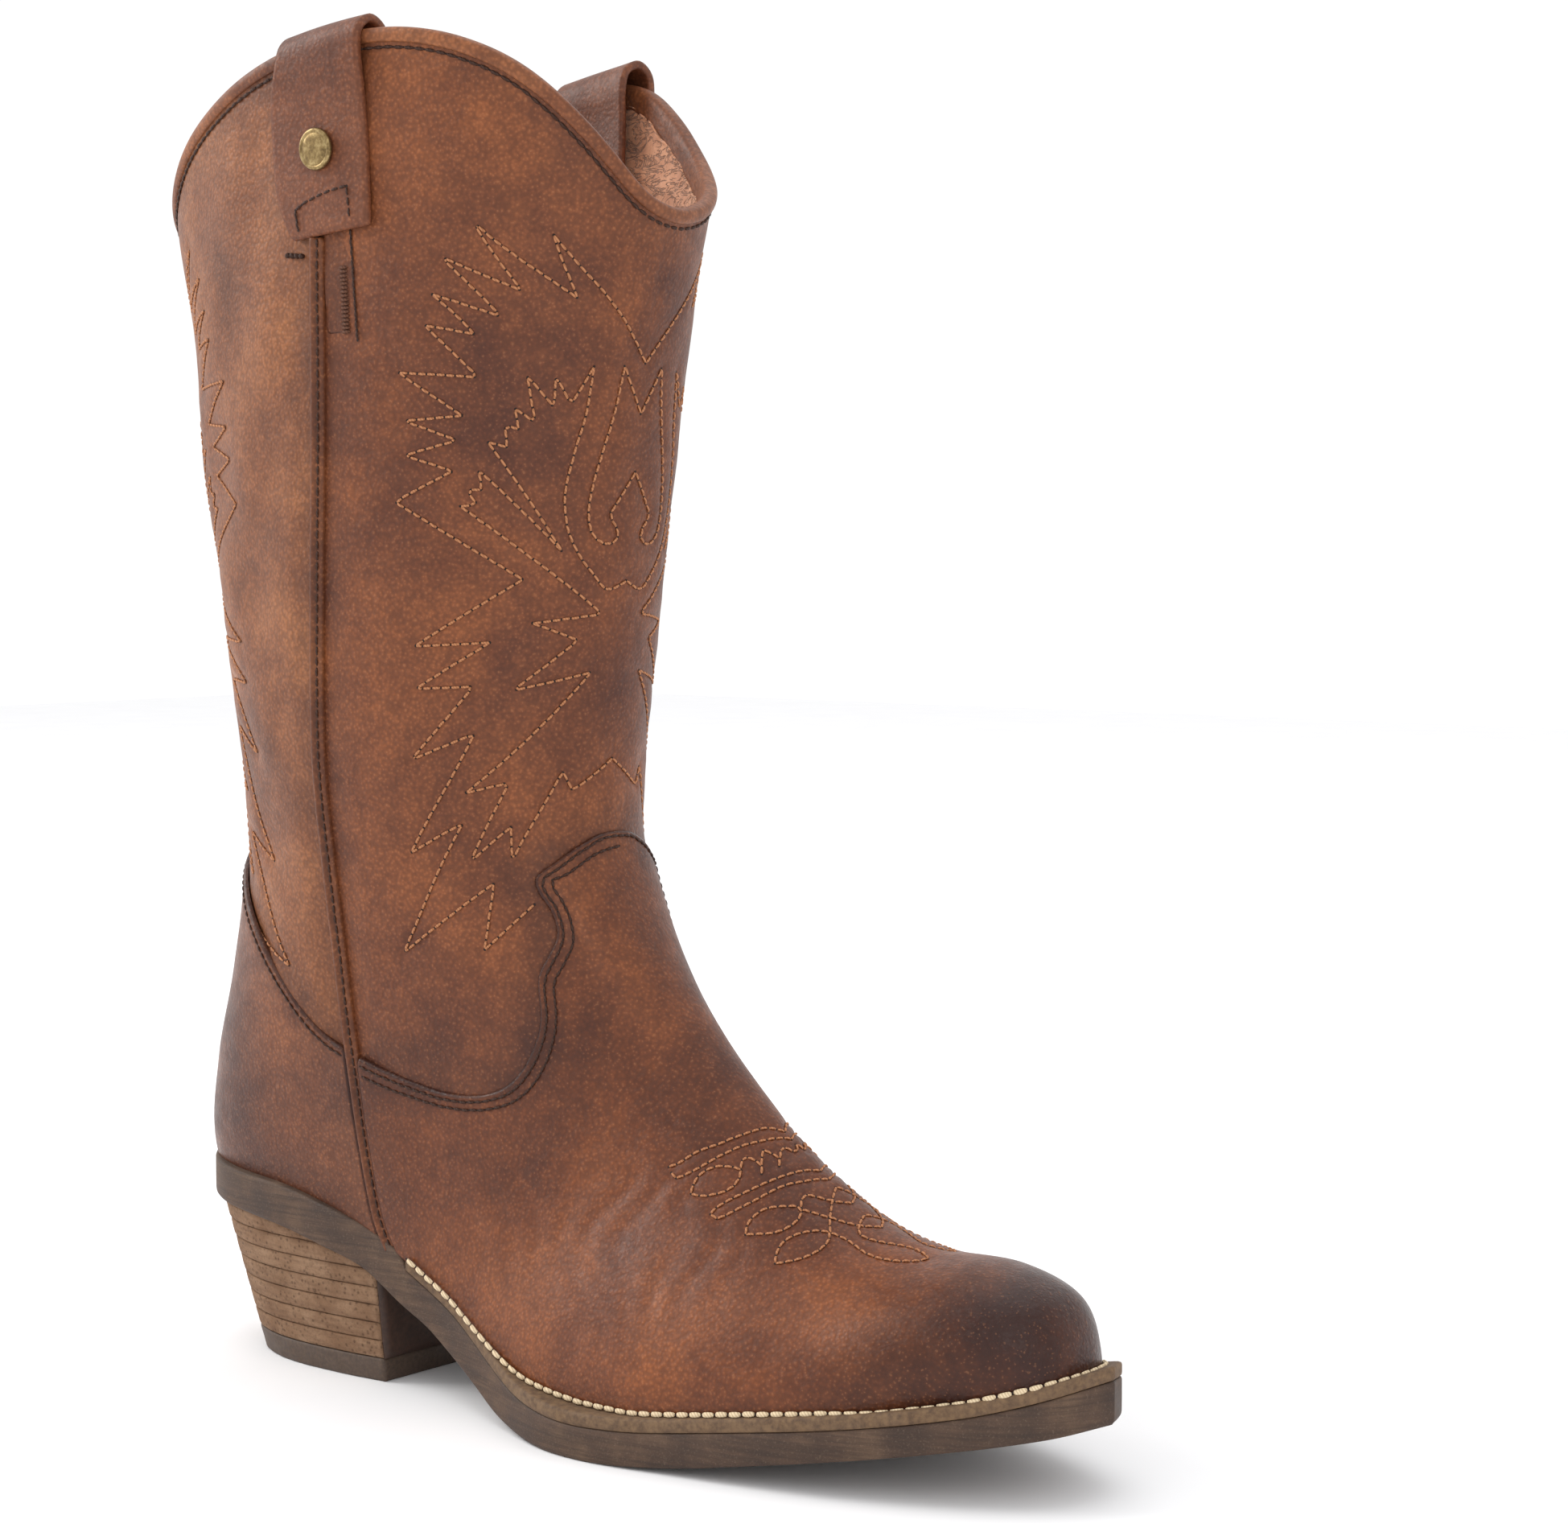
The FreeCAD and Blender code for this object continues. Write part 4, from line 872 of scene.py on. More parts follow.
def with_more_points(line):
    """The same line with extra points on its straight runs, none of them moved."""
    line = np.asarray(line, float)
    out = [line[0]]
    for a, b in zip(line, line[1:]):
        n = max(int(abs(b - a) @ np.array((24.0, 1.0))), 1)
        for k in range(1, n + 1):
            out.append(a + (b - a) * k / n)
    return np.array(out)


def on_side(rows, side, smooth=False):
    rows = np.asarray(rows, float)
    if smooth:
        rows = catmull(rows, np.linspace(0, len(rows) - 1, (len(rows) - 1) * 6 + 1))
    return np.stack([rows[:, 0], column(rows[:, 1], side)], 1)


# fancy stitching, as station and arc fraction from the front centre; drawn on both sides
FLAME = (
    (2.24, 0), (1.22, .149), (1.76, .111), (1.14, .242), (1.70, .178), (1.39, .278), (1.92, .202),
    (1.72, .289), (2.05, .233), (1.98, .298), (2.36, .227), (2.32, .333), (2.63, .246),
    (2.66, .326), (2.80, .252), (2.90, .326), (3.01, .258), (3.22, .340), (3.74, .161),
    (4.20, .315), (4.17, .204), (4.49, .315), (4.47, .228), (5.02, .326), (4.81, .227),
    (5.94, .339), (5.65, .249), (7.06, .380), (6.35, .211), (7.15, .247), (6.65, .157),
)
LOWER_FLAME = (
    (3.25, .248), (3.98, .041), (4.04, .146), (4.16, .077), (4.50, .171), (4.38, .052),
    (5.33, .242), (5.24, .176), (6.08, .242), (5.72, .175), (6.11, .178), (5.15, .092),
    (5.35, .075), (5.05, 0),
)
INNER_FLAME = (
    (3.25, .248), (3.24, .225), (3.14, .240), (3.14, .218), (3.00, .225), (3.55, .108),
    (2.81, .213), (2.85, .187), (2.69, .192), (2.73, .174), (2.58, .179), (2.68, .153),
    (2.35, .166), (2.57, .130), (2.35, .130), (2.55, .108), (2.28, .081),
)
STEM = (
    (2.28, .081), (2.62, .087), (2.84, .097), (3.10, .107), (3.27, .107), (3.42, .100),
    (3.57, .084), (3.71, .059), (3.81, .034), (3.75, 0),
)
CURL_PEAK = ((2.60, 0), (2.27, .036))
CURL = (
    (2.27, .036), (2.59, .045), (2.84, .057), (3.10, .069), (3.29, .073), (3.42, .067),
    (3.49, .052), (3.50, .035), (3.46, .023), (3.39, .026),
)
CURL_END = ((3.39, .026), (3.31, .041), (3.01, 0))

TOE_BAND_REAR = (
    (11.04, 0), (10.89, .022), (10.86, .054), (10.86, .089), (10.84, .122), (10.89, .155),
    (10.88, .171),
)
TOE_BAND_FRONT = (
    (10.97, .175), (11.08, .176), (11.08, .146), (11.04, .107), (11.03, .067), (11.08, .036),
    (11.13, .013), (11.2, 0),
)
TOE_LOOP = (
    (11.37, .179), (11.27, .166), (11.17, .146), (11.15, .126), (11.21, .110), (11.35, .096),
    (11.47, .107), (11.54, .121), (11.56, .140), (11.49, .167), (11.37, .179),
)
TOE_ZIGZAG = (
    (11.35, .096), (11.18, .078), (11.40, .066), (11.56, .079), (11.21, .050), (11.41, .039),
    (11.56, .050), (11.26, .024), (11.47, .010), (11.3, 0),
)
TOE_CROSS_REAR = (
    (11.86, 0), (11.76, .029), (11.72, .069), (11.71, .112), (11.70, .144), (11.72, .176),
    (11.76, .183),
)
TOE_CROSS_FRONT = (
    (11.76, .183), (11.86, .182), (11.88, .153), (11.88, .115), (11.87, .075), (11.94, .037),
    (12.04, 0),
)
PETAL_REAR = (
    (12.26, .174), (12.15, .159), (12.08, .139), (12.07, .116), (12.17, .095), (12.30, .078),
    (12.44, .097), (12.48, .118), (12.45, .142), (12.26, .174),
)
PETAL_STEM = ((12.30, .078), (12.14, .056), (12.39, .031), (12.54, 0))
PETAL_FRONT = (
    (12.84, .187), (12.73, .171), (12.63, .145), (12.64, .117), (12.75, .091), (12.86, .082),
    (12.97, .101), (13.03, .125), (13.00, .153), (12.93, .172), (12.84, .187),
)
PETAL_CROSS = ((12.86, .082), (12.63, .058), (12.32, .018), (12.2, 0))
PETAL_LINK = ((12.33, .080), (12.63, .058), (12.94, .033), (13.12, 0))
LEAF = (
    (12.86, .082), (13.10, .076), (13.48, .086), (13.70, .084), (13.93, .072), (14.13, .043),
    (13.85, .021), (13.64, .024), (13.36, .043), (13.10, .050), (12.90, .024), (12.8, 0),
)

SHAFT_SHARP = (FLAME, LOWER_FLAME, INNER_FLAME, CURL_PEAK, CURL_END)
SHAFT_SMOOTH = (STEM, CURL)
BACK_SHARP = (FLAME[:29], LOWER_FLAME, INNER_FLAME)
TOE_SMOOTH = (TOE_BAND_REAR, TOE_BAND_FRONT, TOE_LOOP, TOE_CROSS_REAR, TOE_CROSS_FRONT,
              PETAL_REAR, PETAL_STEM, PETAL_FRONT, PETAL_CROSS, PETAL_LINK, LEAF)

shaft_lines = []
toe_lines = []
for side in (-1, 1):
    shaft_lines += [on_side(rows, side) for rows in SHAFT_SHARP]
    shaft_lines += [on_side(rows, side, True) for rows in SHAFT_SMOOTH]
    shaft_lines += [on_side([(t, 1 - s) for t, s in rows], side) for rows in BACK_SHARP]
    toe_lines += [on_side(rows, side, True) for rows in TOE_SMOOTH]
    toe_lines.append(on_side(TOE_ZIGZAG, side))


# rows that follow an edge at a set distance, found as level lines of the edge's field
def true_gap(field):
    """Side-view distance field scaled to distance along the skin."""
    step_t = np.linalg.norm(np.gradient(PG, axis=0), axis=2)
    wide = np.concatenate([PG[:, -1:], PG, PG[:, :1]], axis=1)
    step_q = np.linalg.norm((wide[:, 2:] - wide[:, :-2]) / 2, axis=2)
    ft = np.gradient(field, axis=0) / (step_t + 1e-6)
    fw = np.concatenate([field[:, -1:], field, field[:, :1]], axis=1)
    fq = (fw[:, 2:] - fw[:, :-2]) / 2 / (step_q + 1e-6)
    slope = np.hypot(ft, fq)
    return field / np.clip(slope, 0.55, 1.3)


def value_at(field):
    """Function giving a grid field's value at stations and columns."""
    def read(t, q):
        r = np.clip(np.interp(t, T_FINE, np.arange(len(T_FINE))), 0, len(T_FINE) - 1.001)
        i = np.floor(r).astype(int)
        q = np.mod(q, COLS)
        j = np.floor(q).astype(int) % COLS
        u, v = r - i, q - np.floor(q)
        k = (j + 1) % COLS
        return ((1 - u) * ((1 - v) * field[i, j] + v * field[i, k])
                + u * ((1 - v) * field[i + 1, j] + v * field[i + 1, k]))
    return read


feather_at, front_at = value_at(f_feather), value_at(f_front)
vamp_gap, counter_gap, rim_gap = true_gap(f_vamp), true_gap(f_counter), true_gap(f_rim)
vamp_at, counter_at, rim_at = value_at(vamp_gap), value_at(counter_gap), value_at(rim_gap)
slot_at = value_at(f_slot)
PIPING_HALF = 2.1
ROW_INSETS = (2.0, 4.4)


def edge_rows(gap, ahead):
    """Twin rows along a top edge, ahead of the side seam (1) or behind it (-1)."""
    def keep(line):
        t, q = line.T
        return (front_at(t, q) * ahead > 2.8) & (feather_at(t, q) > 30)
    rows = []
    for inset in ROW_INSETS:
        rows += level_lines(gap, inset, keep)
    return rows


vamp_rows = edge_rows(vamp_gap, 1)
counter_rows = edge_rows(counter_gap, -1)


def rim_line():
    """Closed line of the rim, evened out."""
    line = max(level_lines(rim_gap, 0.0), key=len)
    p, n = skin(line[:, 0], line[:, 1])
    if np.linalg.norm(p[0] - p[-1]) < 1e-6:
        p, n = p[:-1], n[:-1]
    for _ in range(24):
        p = (np.roll(p, 1, 0) + 2 * p + np.roll(p, -1, 0)) / 4
        n = (np.roll(n, 1, 0) + 2 * n + np.roll(n, -1, 0)) / 4
    p, n = np.vstack([p, p[:1]]), np.vstack([n, n[:1]])
    gap = run_along(p)
    marks = np.linspace(0, gap[-1], 361)[:-1]
    return resample(marks, gap, p), unit(resample(marks, gap, n))


rim_points, rim_normals = rim_line()


def below_rim(distance, rise):
    """Closed line on the wall at a distance below the rim."""
    ahead, behind = neighbours(rim_points, True)
    down = np.cross(rim_normals, ahead - behind)
    down = unit(down * -np.sign(down[:, 2:]))
    line = rim_points + down * distance + rim_normals * rise
    return np.vstack([line, line[:1]]), np.vstack([rim_normals, rim_normals[:1]])


def tree_of(lines):
    """Search tree over the points of stitch lines."""
    cloud = []
    for line in lines:
        dense = with_more_points(line)
        cloud.append(skin(dense[:, 0], dense[:, 1])[0])
    return tree_from(np.vstack(cloud))


def tree_from(cloud):
    tree = kdtree.KDTree(len(cloud))
    for k, p in enumerate(cloud):
        tree.insert(Vector(p), k)
    tree.balance()
    return tree


def groove(tree, points, depth=0.30, half=1.0, puff=0.0, reach=5.0):
    """Leather pulled in along stitch lines and slightly full between them."""
    d = np.array([tree.find(Vector(p))[2] for p in points])
    return -depth * np.exp(-(d / half) ** 2) + puff * (1 - np.exp(-(d / reach) ** 2))


def ripple(points, size, amount, seed=0):
    """Smooth uneven relief from a few sine waves, amount in millimetres."""
    local = np.random.default_rng(seed)
    total = np.zeros(len(points))
    for k in range(7):
        way = local.normal(size=3)
        way /= np.linalg.norm(way)
        phase = local.uniform(0, 2 * math.pi)
        total += np.sin(points @ way * (2 * math.pi / (size * local.uniform(0.6, 1.5))) + phase)
    return total / 7 * amount * 1.6


shaft_tree = tree_of(shaft_lines)
toe_tree = tree_of(toe_lines)
edge_tree = tree_of(vamp_rows + counter_rows)
RIM_ROW = 4.3
rim_tree = tree_from(below_rim(RIM_ROW, 0.0)[0])


def fade(value, low, high):
    """Smooth step from 0 at low to 1 at high."""
    u = np.clip((value - low) / (high - low), 0, 1)
    return u * u * (3 - 2 * u)


def shaft_relief(t, q, p):
    """Quilted by its stitching, softly uneven, with upright folds on the back panel."""
    calm = fade(rim_at(t, q), 2.0, 22.0) * fade(np.abs(front_at(t, q)), 1.0, 12.0)
    calm = calm * fade(slot_at(t, q), 0.0, 14.0)
    back = fade(-front_at(t, q), 4.0, 30.0)
    upright = ripple(p * (1.0, 1.0, 0.32), 22, 1.0, 21) - 0.35
    return (groove(shaft_tree, p, 0.42, 1.15) + groove(rim_tree, p, 0.20, 0.9)
            + calm * (0.16 + ripple(p, 62, 0.5, 3) + ripple(p, 24, 0.14, 4)
                      + groove(shaft_tree, p, 0.0, 1.0, 0.32, 5.5) + back * upright))


def flex_at(t, q):
    """How strongly the vamp is creased: behind the toe pattern, on both sides."""
    side = np.minimum(q, COLS - q) / NS
    return (fade(t, 9.9, 10.7) * (1 - fade(t, 12.0, 13.3))
            * fade(side, 0.14, 0.22) * (1 - fade(side, 0.36, 0.62)))


def vamp_relief(t, q, p):
    """Pulled in along the toe stitching and creased where the foot bends."""
    side = np.minimum(q, COLS - q)
    lean = t * 17.0 - side * 0.62 + 2.6 * np.sin(side / 8.0) + 1.8 * np.sin(t * 5.0 + 1.0)
    creases = np.abs(np.sin(lean / 2.6)) ** 1.6 - 0.6
    long_folds = np.sin(lean / 6.1 + 0.7)
    flex = flex_at(t, q)
    return (groove(toe_tree, p, 0.34, 0.9, 0.20, 4.0) + groove(edge_tree, p, 0.26, 0.9)
            + ripple(p, 40, 0.22, 5) + flex * (creases * 0.34 + long_folds * 0.22))


def counter_relief(t, q, p):
    return groove(edge_tree, p, 0.26, 0.9) + ripple(p, 40, 0.18, 6)


def vamp_burn(t, q, p):
    """Darkened toe cap, edges and the foot of the side seam."""
    toe = fade(t, 13.7, 15.9) * 0.95
    seam = (1 - fade(front_at(t, q), 2, 26)) * 0.35
    edge = (1 - fade(vamp_at(t, q), 0.5, 9)) * 0.4
    foot = (1 - fade(feather_at(t, q), 0, 9)) * 0.3
    return np.clip(np.maximum.reduce([toe, seam, edge, foot]), 0, 1)


def counter_burn(t, q, p):
    back = (1 - fade(p[:, 0] + XC, 2, 48)) * 0.55
    edge = (1 - fade(counter_at(t, q), 0.5, 9)) * 0.4
    foot = (1 - fade(feather_at(t, q), 0, 16)) * 0.5
    seam = (1 - fade(-front_at(t, q), 2, 16)) * 0.3
    return np.clip(np.maximum.reduce([back, edge, foot, seam]), 0, 1)


def shaft_burn(t, q, p):
    edge = (1 - fade(np.minimum(np.abs(vamp_at(t, q)), np.abs(counter_at(t, q))), 0, 12)) * 0.45
    rim = (1 - fade(rim_at(t, q), 3, 14)) * 0.25
    seam = (1 - fade(np.abs(front_at(t, q)), 2, 12)) * 0.25
    return np.clip(np.maximum.reduce([edge, rim, seam]), 0, 1)


# ---------------------------------------------------------------- leather panels
# how far panels reach under the vamp and counter, under the piping and rim, and past the feather
UNDER, LAP, RIM_LAP, LASTED = 6.0, 0.3, 0.4, 1.2
leather_sheet(
    "shaft_front_leather",
    np.minimum.reduce([f_rim + RIM_LAP, f_front + LAP, UNDER - f_vamp, f_slot]),
    MID_OUT, shaft_leather, ("shaft_front",), rise=shaft_relief,
    burn=shaft_burn)
leather_sheet(
    "shaft_back_leather",
    np.minimum.reduce([f_rim + RIM_LAP, LAP - f_front, UNDER - f_counter, f_slot]),
    MID_OUT, lit_back_leather, ("shaft_back",), rise=shaft_relief,
    burn=shaft_burn)
leather_sheet(
    "vamp_upper",
    np.minimum.reduce([f_vamp, f_front - PIPING_HALF + LAP, f_feather + LASTED]),
    TOP_OUT, vamp_leather, ("vamp",), rise=vamp_relief,
    burn=vamp_burn)
leather_sheet(
    "counter_upper",
    np.minimum.reduce([f_counter, -f_front - PIPING_HALF + LAP, f_feather + LASTED]),
    TOP_OUT, counter_leather, ("counter",), rise=counter_relief,
    burn=counter_burn)


# ---------------------------------------------------------------- lining, sock and guard
LINING_EDGE = 5.2
# where leg and foot lining meet, and how far each passes that height
LINING_SPLIT, LINING_LAP = 150.0, 0.8


def lining_sheet(name, field, out, nodes, rise, raw_edge):
    """Lining face, seen from inside the boot, with a thin raw edge where it is cut."""
    rings = ((0.4, -0.25), (0.0, 0.15), (0.0, 1.0)) if raw_edge else ((0.4, 0.0),)
    obj = leather_sheet(name, field, out, lining_leather, nodes,
                        tuple((i, -d) for i, d in rings), rise, 0.8)
    obj.data.flip_normals()
    return obj


def lining_relief(t, q, p):
    """Soft folds running round the leg, and a puckered top edge."""
    gap = rim_at(t, q)
    round_leg = p[:, 2] + 0.35 * p[:, 0] + 2.2 * np.sin(p[:, 1] / 9.0)
    folds = np.maximum(np.sin(round_leg / 2.4 + 1.8 * np.sin(p[:, 1] / 11.0)), 0.0)
    fine = np.sin(p[:, 2] / 1.35 + 1.2 * np.sin(p[:, 1] / 5.0) + 0.4 * np.sin(p[:, 0] / 3.0))
    pucker = np.sin(q * 0.9 + 0.8 * np.sin(q * 0.23)) * np.exp(-(gap - LINING_EDGE) / 9.0)
    return -(0.15 + fade(gap, 6, 22) * (folds * 0.85 + np.maximum(fine, 0) * 0.3)
             + np.abs(pucker) * 0.45 + ripple(p, 26, 0.35, 11))


f_lining_slot = zip_gap(PG, 12.6, -6.6, ZIP_RUN + 7.6)
wander = 0.45 * np.sin(QG * 0.33) + 0.35 * np.sin(QG * 0.81 + 1.0)
lining_sheet("leg_lining", np.minimum.reduce([rim_gap - LINING_EDGE + wander, f_lining_slot,
                                              ZG - LINING_SPLIT + LINING_LAP]),
             LIN_IN, ("shaft_lining",), lining_relief, True)
lining_sheet("foot_lining_face", np.minimum.reduce([f_feather + 1.0, f_lining_slot,
                                                    LINING_SPLIT + LINING_LAP - ZG]),
             LIN_IN, ("foot_lining",), lambda t, q, p: -0.25 + ripple(p, 30, 0.2, 12), False)


def sweep(points, normals, profile, closed, down=None):
    """Vertices and faces of a profile carried along a line.

    profile rows are (height along the normal, distance across)."""
    ahead, behind = neighbours(points, closed)
    along = unit(ahead - behind)
    across = unit(np.cross(normals, along))
    if down is not None and (across @ np.asarray(down, float)).mean() < 0:
        across = -across
    lift = np.cross(along, across)
    if (lift * normals).sum() < 0:
        lift = -lift
    profile = np.asarray(profile, float)
    verts = (points[:, None] + lift[:, None] * profile[None, :, :1]
             + across[:, None] * profile[None, :, 1:2])
    count, wide = len(points), len(profile)
    faces = []
    for k in range(count if closed else count - 1):
        m = (k + 1) % count
        for j in range(wide - 1):
            faces.append((k * wide + j, m * wide + j, m * wide + j + 1, k * wide + j + 1))
    return verts.reshape(-1, 3), faces


BINDING = (
    (-0.40, 3.05), (0.05, 3.02), (0.36, 2.80), (0.58, 2.3), (0.70, 1.6), (0.66, 0.8),
    (0.42, 0.1), (-0.05, -0.38), (-0.8, -0.62), (-1.7, -0.70), (-2.6, -0.56), (-3.2, -0.2),
    (-3.65, 0.5), (-3.85, 1.4), (-3.9, 2.6), (-3.85, 3.8), (-3.8, 5.0), (-3.7, 5.7),
    (-3.5, 6.0), (-3.2, 6.05),
)
verts, faces = sweep(rim_points, rim_normals, smooth_row(BINDING, 0.32), True, (0, 0, -1))
mesh_object("rolled_rim_binding", verts, faces, binding_leather,
            ("rim_binding",))


# ---------------------------------------------------------------- side seam piping
PIPING_PROFILE = (
    (-1.6, -2.15), (-0.2, -2.2), (0.55, -2.12), (1.25, -1.75), (1.72, -1.15), (1.78, -0.55),
    (1.45, -0.05), (1.08, 0.20), (1.02, 0.6), (1.05, 1.3), (0.95, 1.85), (0.5, 2.15),
    (-0.2, 2.2), (-1.6, 2.15),
)
dark_seams = Stitches()
front_gap = true_gap(f_front)


def seam_line(side, low, high):
    """Seam on one side between two heights, or up from the sole when low is None."""
    def keep(line):
        p, _ = skin(line[:, 0], line[:, 1])
        ok = (p[:, 1] * side > 6) & (p[:, 2] < high)
        if low is None:
            return ok & (feather_at(line[:, 0], line[:, 1]) > -1.5)
        return ok & (p[:, 2] > low)
    return max(level_lines(front_gap, 0.0, keep), key=len)


def piping(name, side, low, high, node):
    line = seam_line(side, low, high)
    p, n = skin(line[:, 0], line[:, 1])
    for _ in range(6):
        p[1:-1] = (p[:-2] + 2 * p[1:-1] + p[2:]) / 4
    profile = smooth_row(PIPING_PROFILE, 0.4)
    verts, faces = sweep(p, n, profile, False, (1, 0, 0))
    faces += end_faces(len(p), len(profile))
    mesh_object(name, verts, faces, piping_leather, (node,))
    ahead = np.cross(n, unit(np.gradient(p, axis=0)))
    ahead *= np.sign(ahead[:, :1])
    dark_seams.run(p + ahead * 0.75 + n * 0.98, n, *PIPING_STITCH)


piping("piping_lateral", -1, None, 299.0, "side_piping_lateral")
piping("piping_medial_top", 1, 234.0, 299.0, "side_piping_medial_top")
piping("piping_medial_low", 1, None, 85.0, "side_piping_medial_low")


# ---------------------------------------------------------------- sole and heel
OUTLINE_LATERAL = (
    (-8.5, 0), (-7.6, -11.5), (-4.2, -19.8), (2.5, -26.8), (12, -32), (24, -34.6), (37, -35.4),
    (53, -35), (67, -33.6), (77, -33), (90, -32.7), (101, -34), (112, -36.9), (126, -42),
    (140, -47.2), (150, -49.6), (160, -50), (170, -48.9), (180, -47), (190, -45.2), (200, -43.5),
    (221, -38.8), (239, -32.2), (256, -24.2), (266, -17.6), (273.6, -9.8), (279, 3.2),
)
OUTLINE_MEDIAL = (
    (-8.5, 0), (-7.6, 11.5), (-4.2, 19.8), (2.5, 26.8), (12, 32), (24, 34.4), (37, 35),
    (53, 34.4), (67, 32.8), (77, 31.6), (90, 31), (101, 31.3), (112, 32.4), (126, 34.6),
    (140, 37.8), (150, 40.2), (160, 42.3), (170, 43.7), (180, 44.4), (190, 44.4), (200, 43.4),
    (221, 39.2), (239, 33), (256, 26.6), (265.6, 21.6), (273.2, 15.4), (279, 3.2),
)
WELT, WELT_START = 3.4, 82.0
N_OUT = 190
feather_row = smooth_row(FEATHER, 1.0)
tread_row = smooth_row(TREAD, 1.0)


def feather_z(x):
    return np.interp(x, feather_row[:, 0], feather_row[:, 1])


def tread_z(x):
    return np.interp(x, tread_row[:, 0], tread_row[:, 1])


def dense_outline():
    """The sole's outline, heel back to toe along the lateral side, then back: x from heel, y."""
    halves = []
    for rows in (OUTLINE_LATERAL, OUTLINE_MEDIAL):
        pts = np.asarray(rows, float)
        mirror = pts[1] * (1, -1)
        path = np.vstack([mirror, pts])
        dense = catmull(path, np.linspace(1, len(path) - 1, (len(path) - 2) * 30 + 1))
        run = run_along(dense)
        halves.append(resample(np.linspace(0, run[-1], N_OUT + 1), run, dense))
    return np.vstack([halves[0], halves[1][-2:0:-1]])


OUTLINE = dense_outline()


def inset_outline(inset):
    ahead, behind = neighbours(OUTLINE, True)
    way = unit(ahead - behind)
    return OUTLINE + np.stack([-way[:, 1], way[:, 0]], 1) * inset


def ring_stack(rings):
    """Closed skin through rings of equal length; end rings are filled by strips across."""
    count = len(rings[0])
    faces = band_faces(len(rings), count, True)
    for r in (0, len(rings) - 1):
        for k in range(count // 2):
            strip = [k, k + 1, (count - k - 1) % count, (count - k) % count]
            face = [r * count + j for j in dict.fromkeys(strip)]
            if len(face) > 2:
                faces.append(tuple(face if r else face[::-1]))
    return np.vstack(rings), faces


def sole_ring(inset, height):
    xy = inset_outline(inset)
    return np.stack([xy[:, 0] - XC, xy[:, 1], height(xy[:, 0])], 1)


def outsole_top(x):
    """Top of the outsole: full height round the heel, lower where the welt lies on it."""
    return feather_z(x) - WELT * fade(x, WELT_START - 1.5, WELT_START + 1.5)


def outsole_part():
    """Outsole with worn edges, as rings of inset and height from the tread up."""
    rings = [sole_ring(inset, lambda x: tread_z(x) + lift)
             for inset, lift in ((6.0, 0), (1.4, 0), (0.55, 0.18), (0.16, 0.7), (0.02, 1.5))]
    rings.append(sole_ring(0.0, lambda x: (tread_z(x) + outsole_top(x)) / 2))
    rings += [sole_ring(inset, lambda x: outsole_top(x) + lift)
              for inset, lift in ((0.02, -0.9), (0.22, -0.3), (0.8, 0), (2.8, 0.05), (6.6, -0.1))]
    verts, faces = ring_stack(rings)
    mesh_object("rubber_outsole", verts, faces, outsole_rubber, ("outsole",))


outsole_part()


def welt_part():
    """Leather welt from behind the joint on one side, round the toe, to the other."""
    keep = np.nonzero(OUTLINE[:, 0] > WELT_START)[0]
    profile = ((0.35, -WELT + 0.02), (0.10, -WELT + 0.25), (0.0, -WELT + 0.8), (0.0, -0.9),
               (0.18, -0.35), (0.7, -0.04), (1.6, 0.08), (3.2, 0.02), (6.0, 0.0), (9.4, -0.1),
               (9.4, -WELT + 0.02))
    rings = []
    for inset, lift in profile:
        xy = inset_outline(inset)[keep]
        z = feather_z(xy[:, 0]) + lift
        rings.append(np.stack([xy[:, 0] - XC, xy[:, 1], z], 1))
    count = len(keep)
    faces = band_faces(len(rings), count)
    for k in (0, count - 1):
        faces.append(tuple(r * count + k for r in range(len(rings))))
    mesh_object("leather_welt", np.vstack(rings), faces, welt_leather, ("welt",))
    stitches = Stitches()
    rows = level_lines(f_feather, 0.75, lambda line: skin(line[:, 0], line[:, 1])[0][:, 0] + XC
                       > WELT_START + 2)
    for line in rows:
        stitches.on_skin(line, TOP_OUT + 0.75, vamp_relief, WELT_STITCH)
    stitches.finish("welt_stitches", pale_thread, "welt_leather")


welt_part()

# heel: plan at its top, and how far its length and width shrink down to the tread
HEEL_TOP = 46.0
HEEL_PLAN = (
    (70, 33), (55, 34.2), (38, 34.4), (24, 33.4), (11, 30), (1, 24.2), (-5, 14.3),
)
HEEL_REAR, HEEL_BREAST = -7.0, 70.0
HEEL_LONG, HEEL_WIDE = 0.79, 0.84
BREAST_SHADE_THICK = 0.5
TOP_PIECE, LIFT, GAP, LIFTS = 6.4, 4.8, 0.05, 8


def heel_ring(z, inset=0.0, wobble=0.0, seed=0):
    """Plan of the heel at height z: curved back, straight breast."""
    rise = z / HEEL_TOP
    long, wide = HEEL_LONG + (1 - HEEL_LONG) * rise, HEEL_WIDE + (1 - HEEL_WIDE) * rise
    side = [(HEEL_BREAST - (HEEL_BREAST - x) * long, y * wide) for x, y in HEEL_PLAN]
    back = (HEEL_BREAST - (HEEL_BREAST - HEEL_REAR) * long, 0.0)
    row = smooth_row([(x, -y) for x, y in side] + [back] + side[::-1], 1.0)
    row = resample(np.linspace(0, len(row) - 1, 121), np.arange(len(row)), row)
    breast = np.linspace(row[-1], row[0], 42)[1:-1]
    ring = np.vstack([row, breast])
    ahead, behind = neighbours(ring, True)
    way = unit(ahead - behind)
    out = np.stack([way[:, 1], -way[:, 0]], 1)
    if ((ring - ring.mean(0)) * out).sum() < 0:
        out = -out
    k = np.arange(len(ring))
    uneven = wobble * (np.sin(k * 0.61 + seed) + np.sin(k * 1.37 + 2 * seed)) / 2
    return ring + out * (uneven - inset)[:, None]


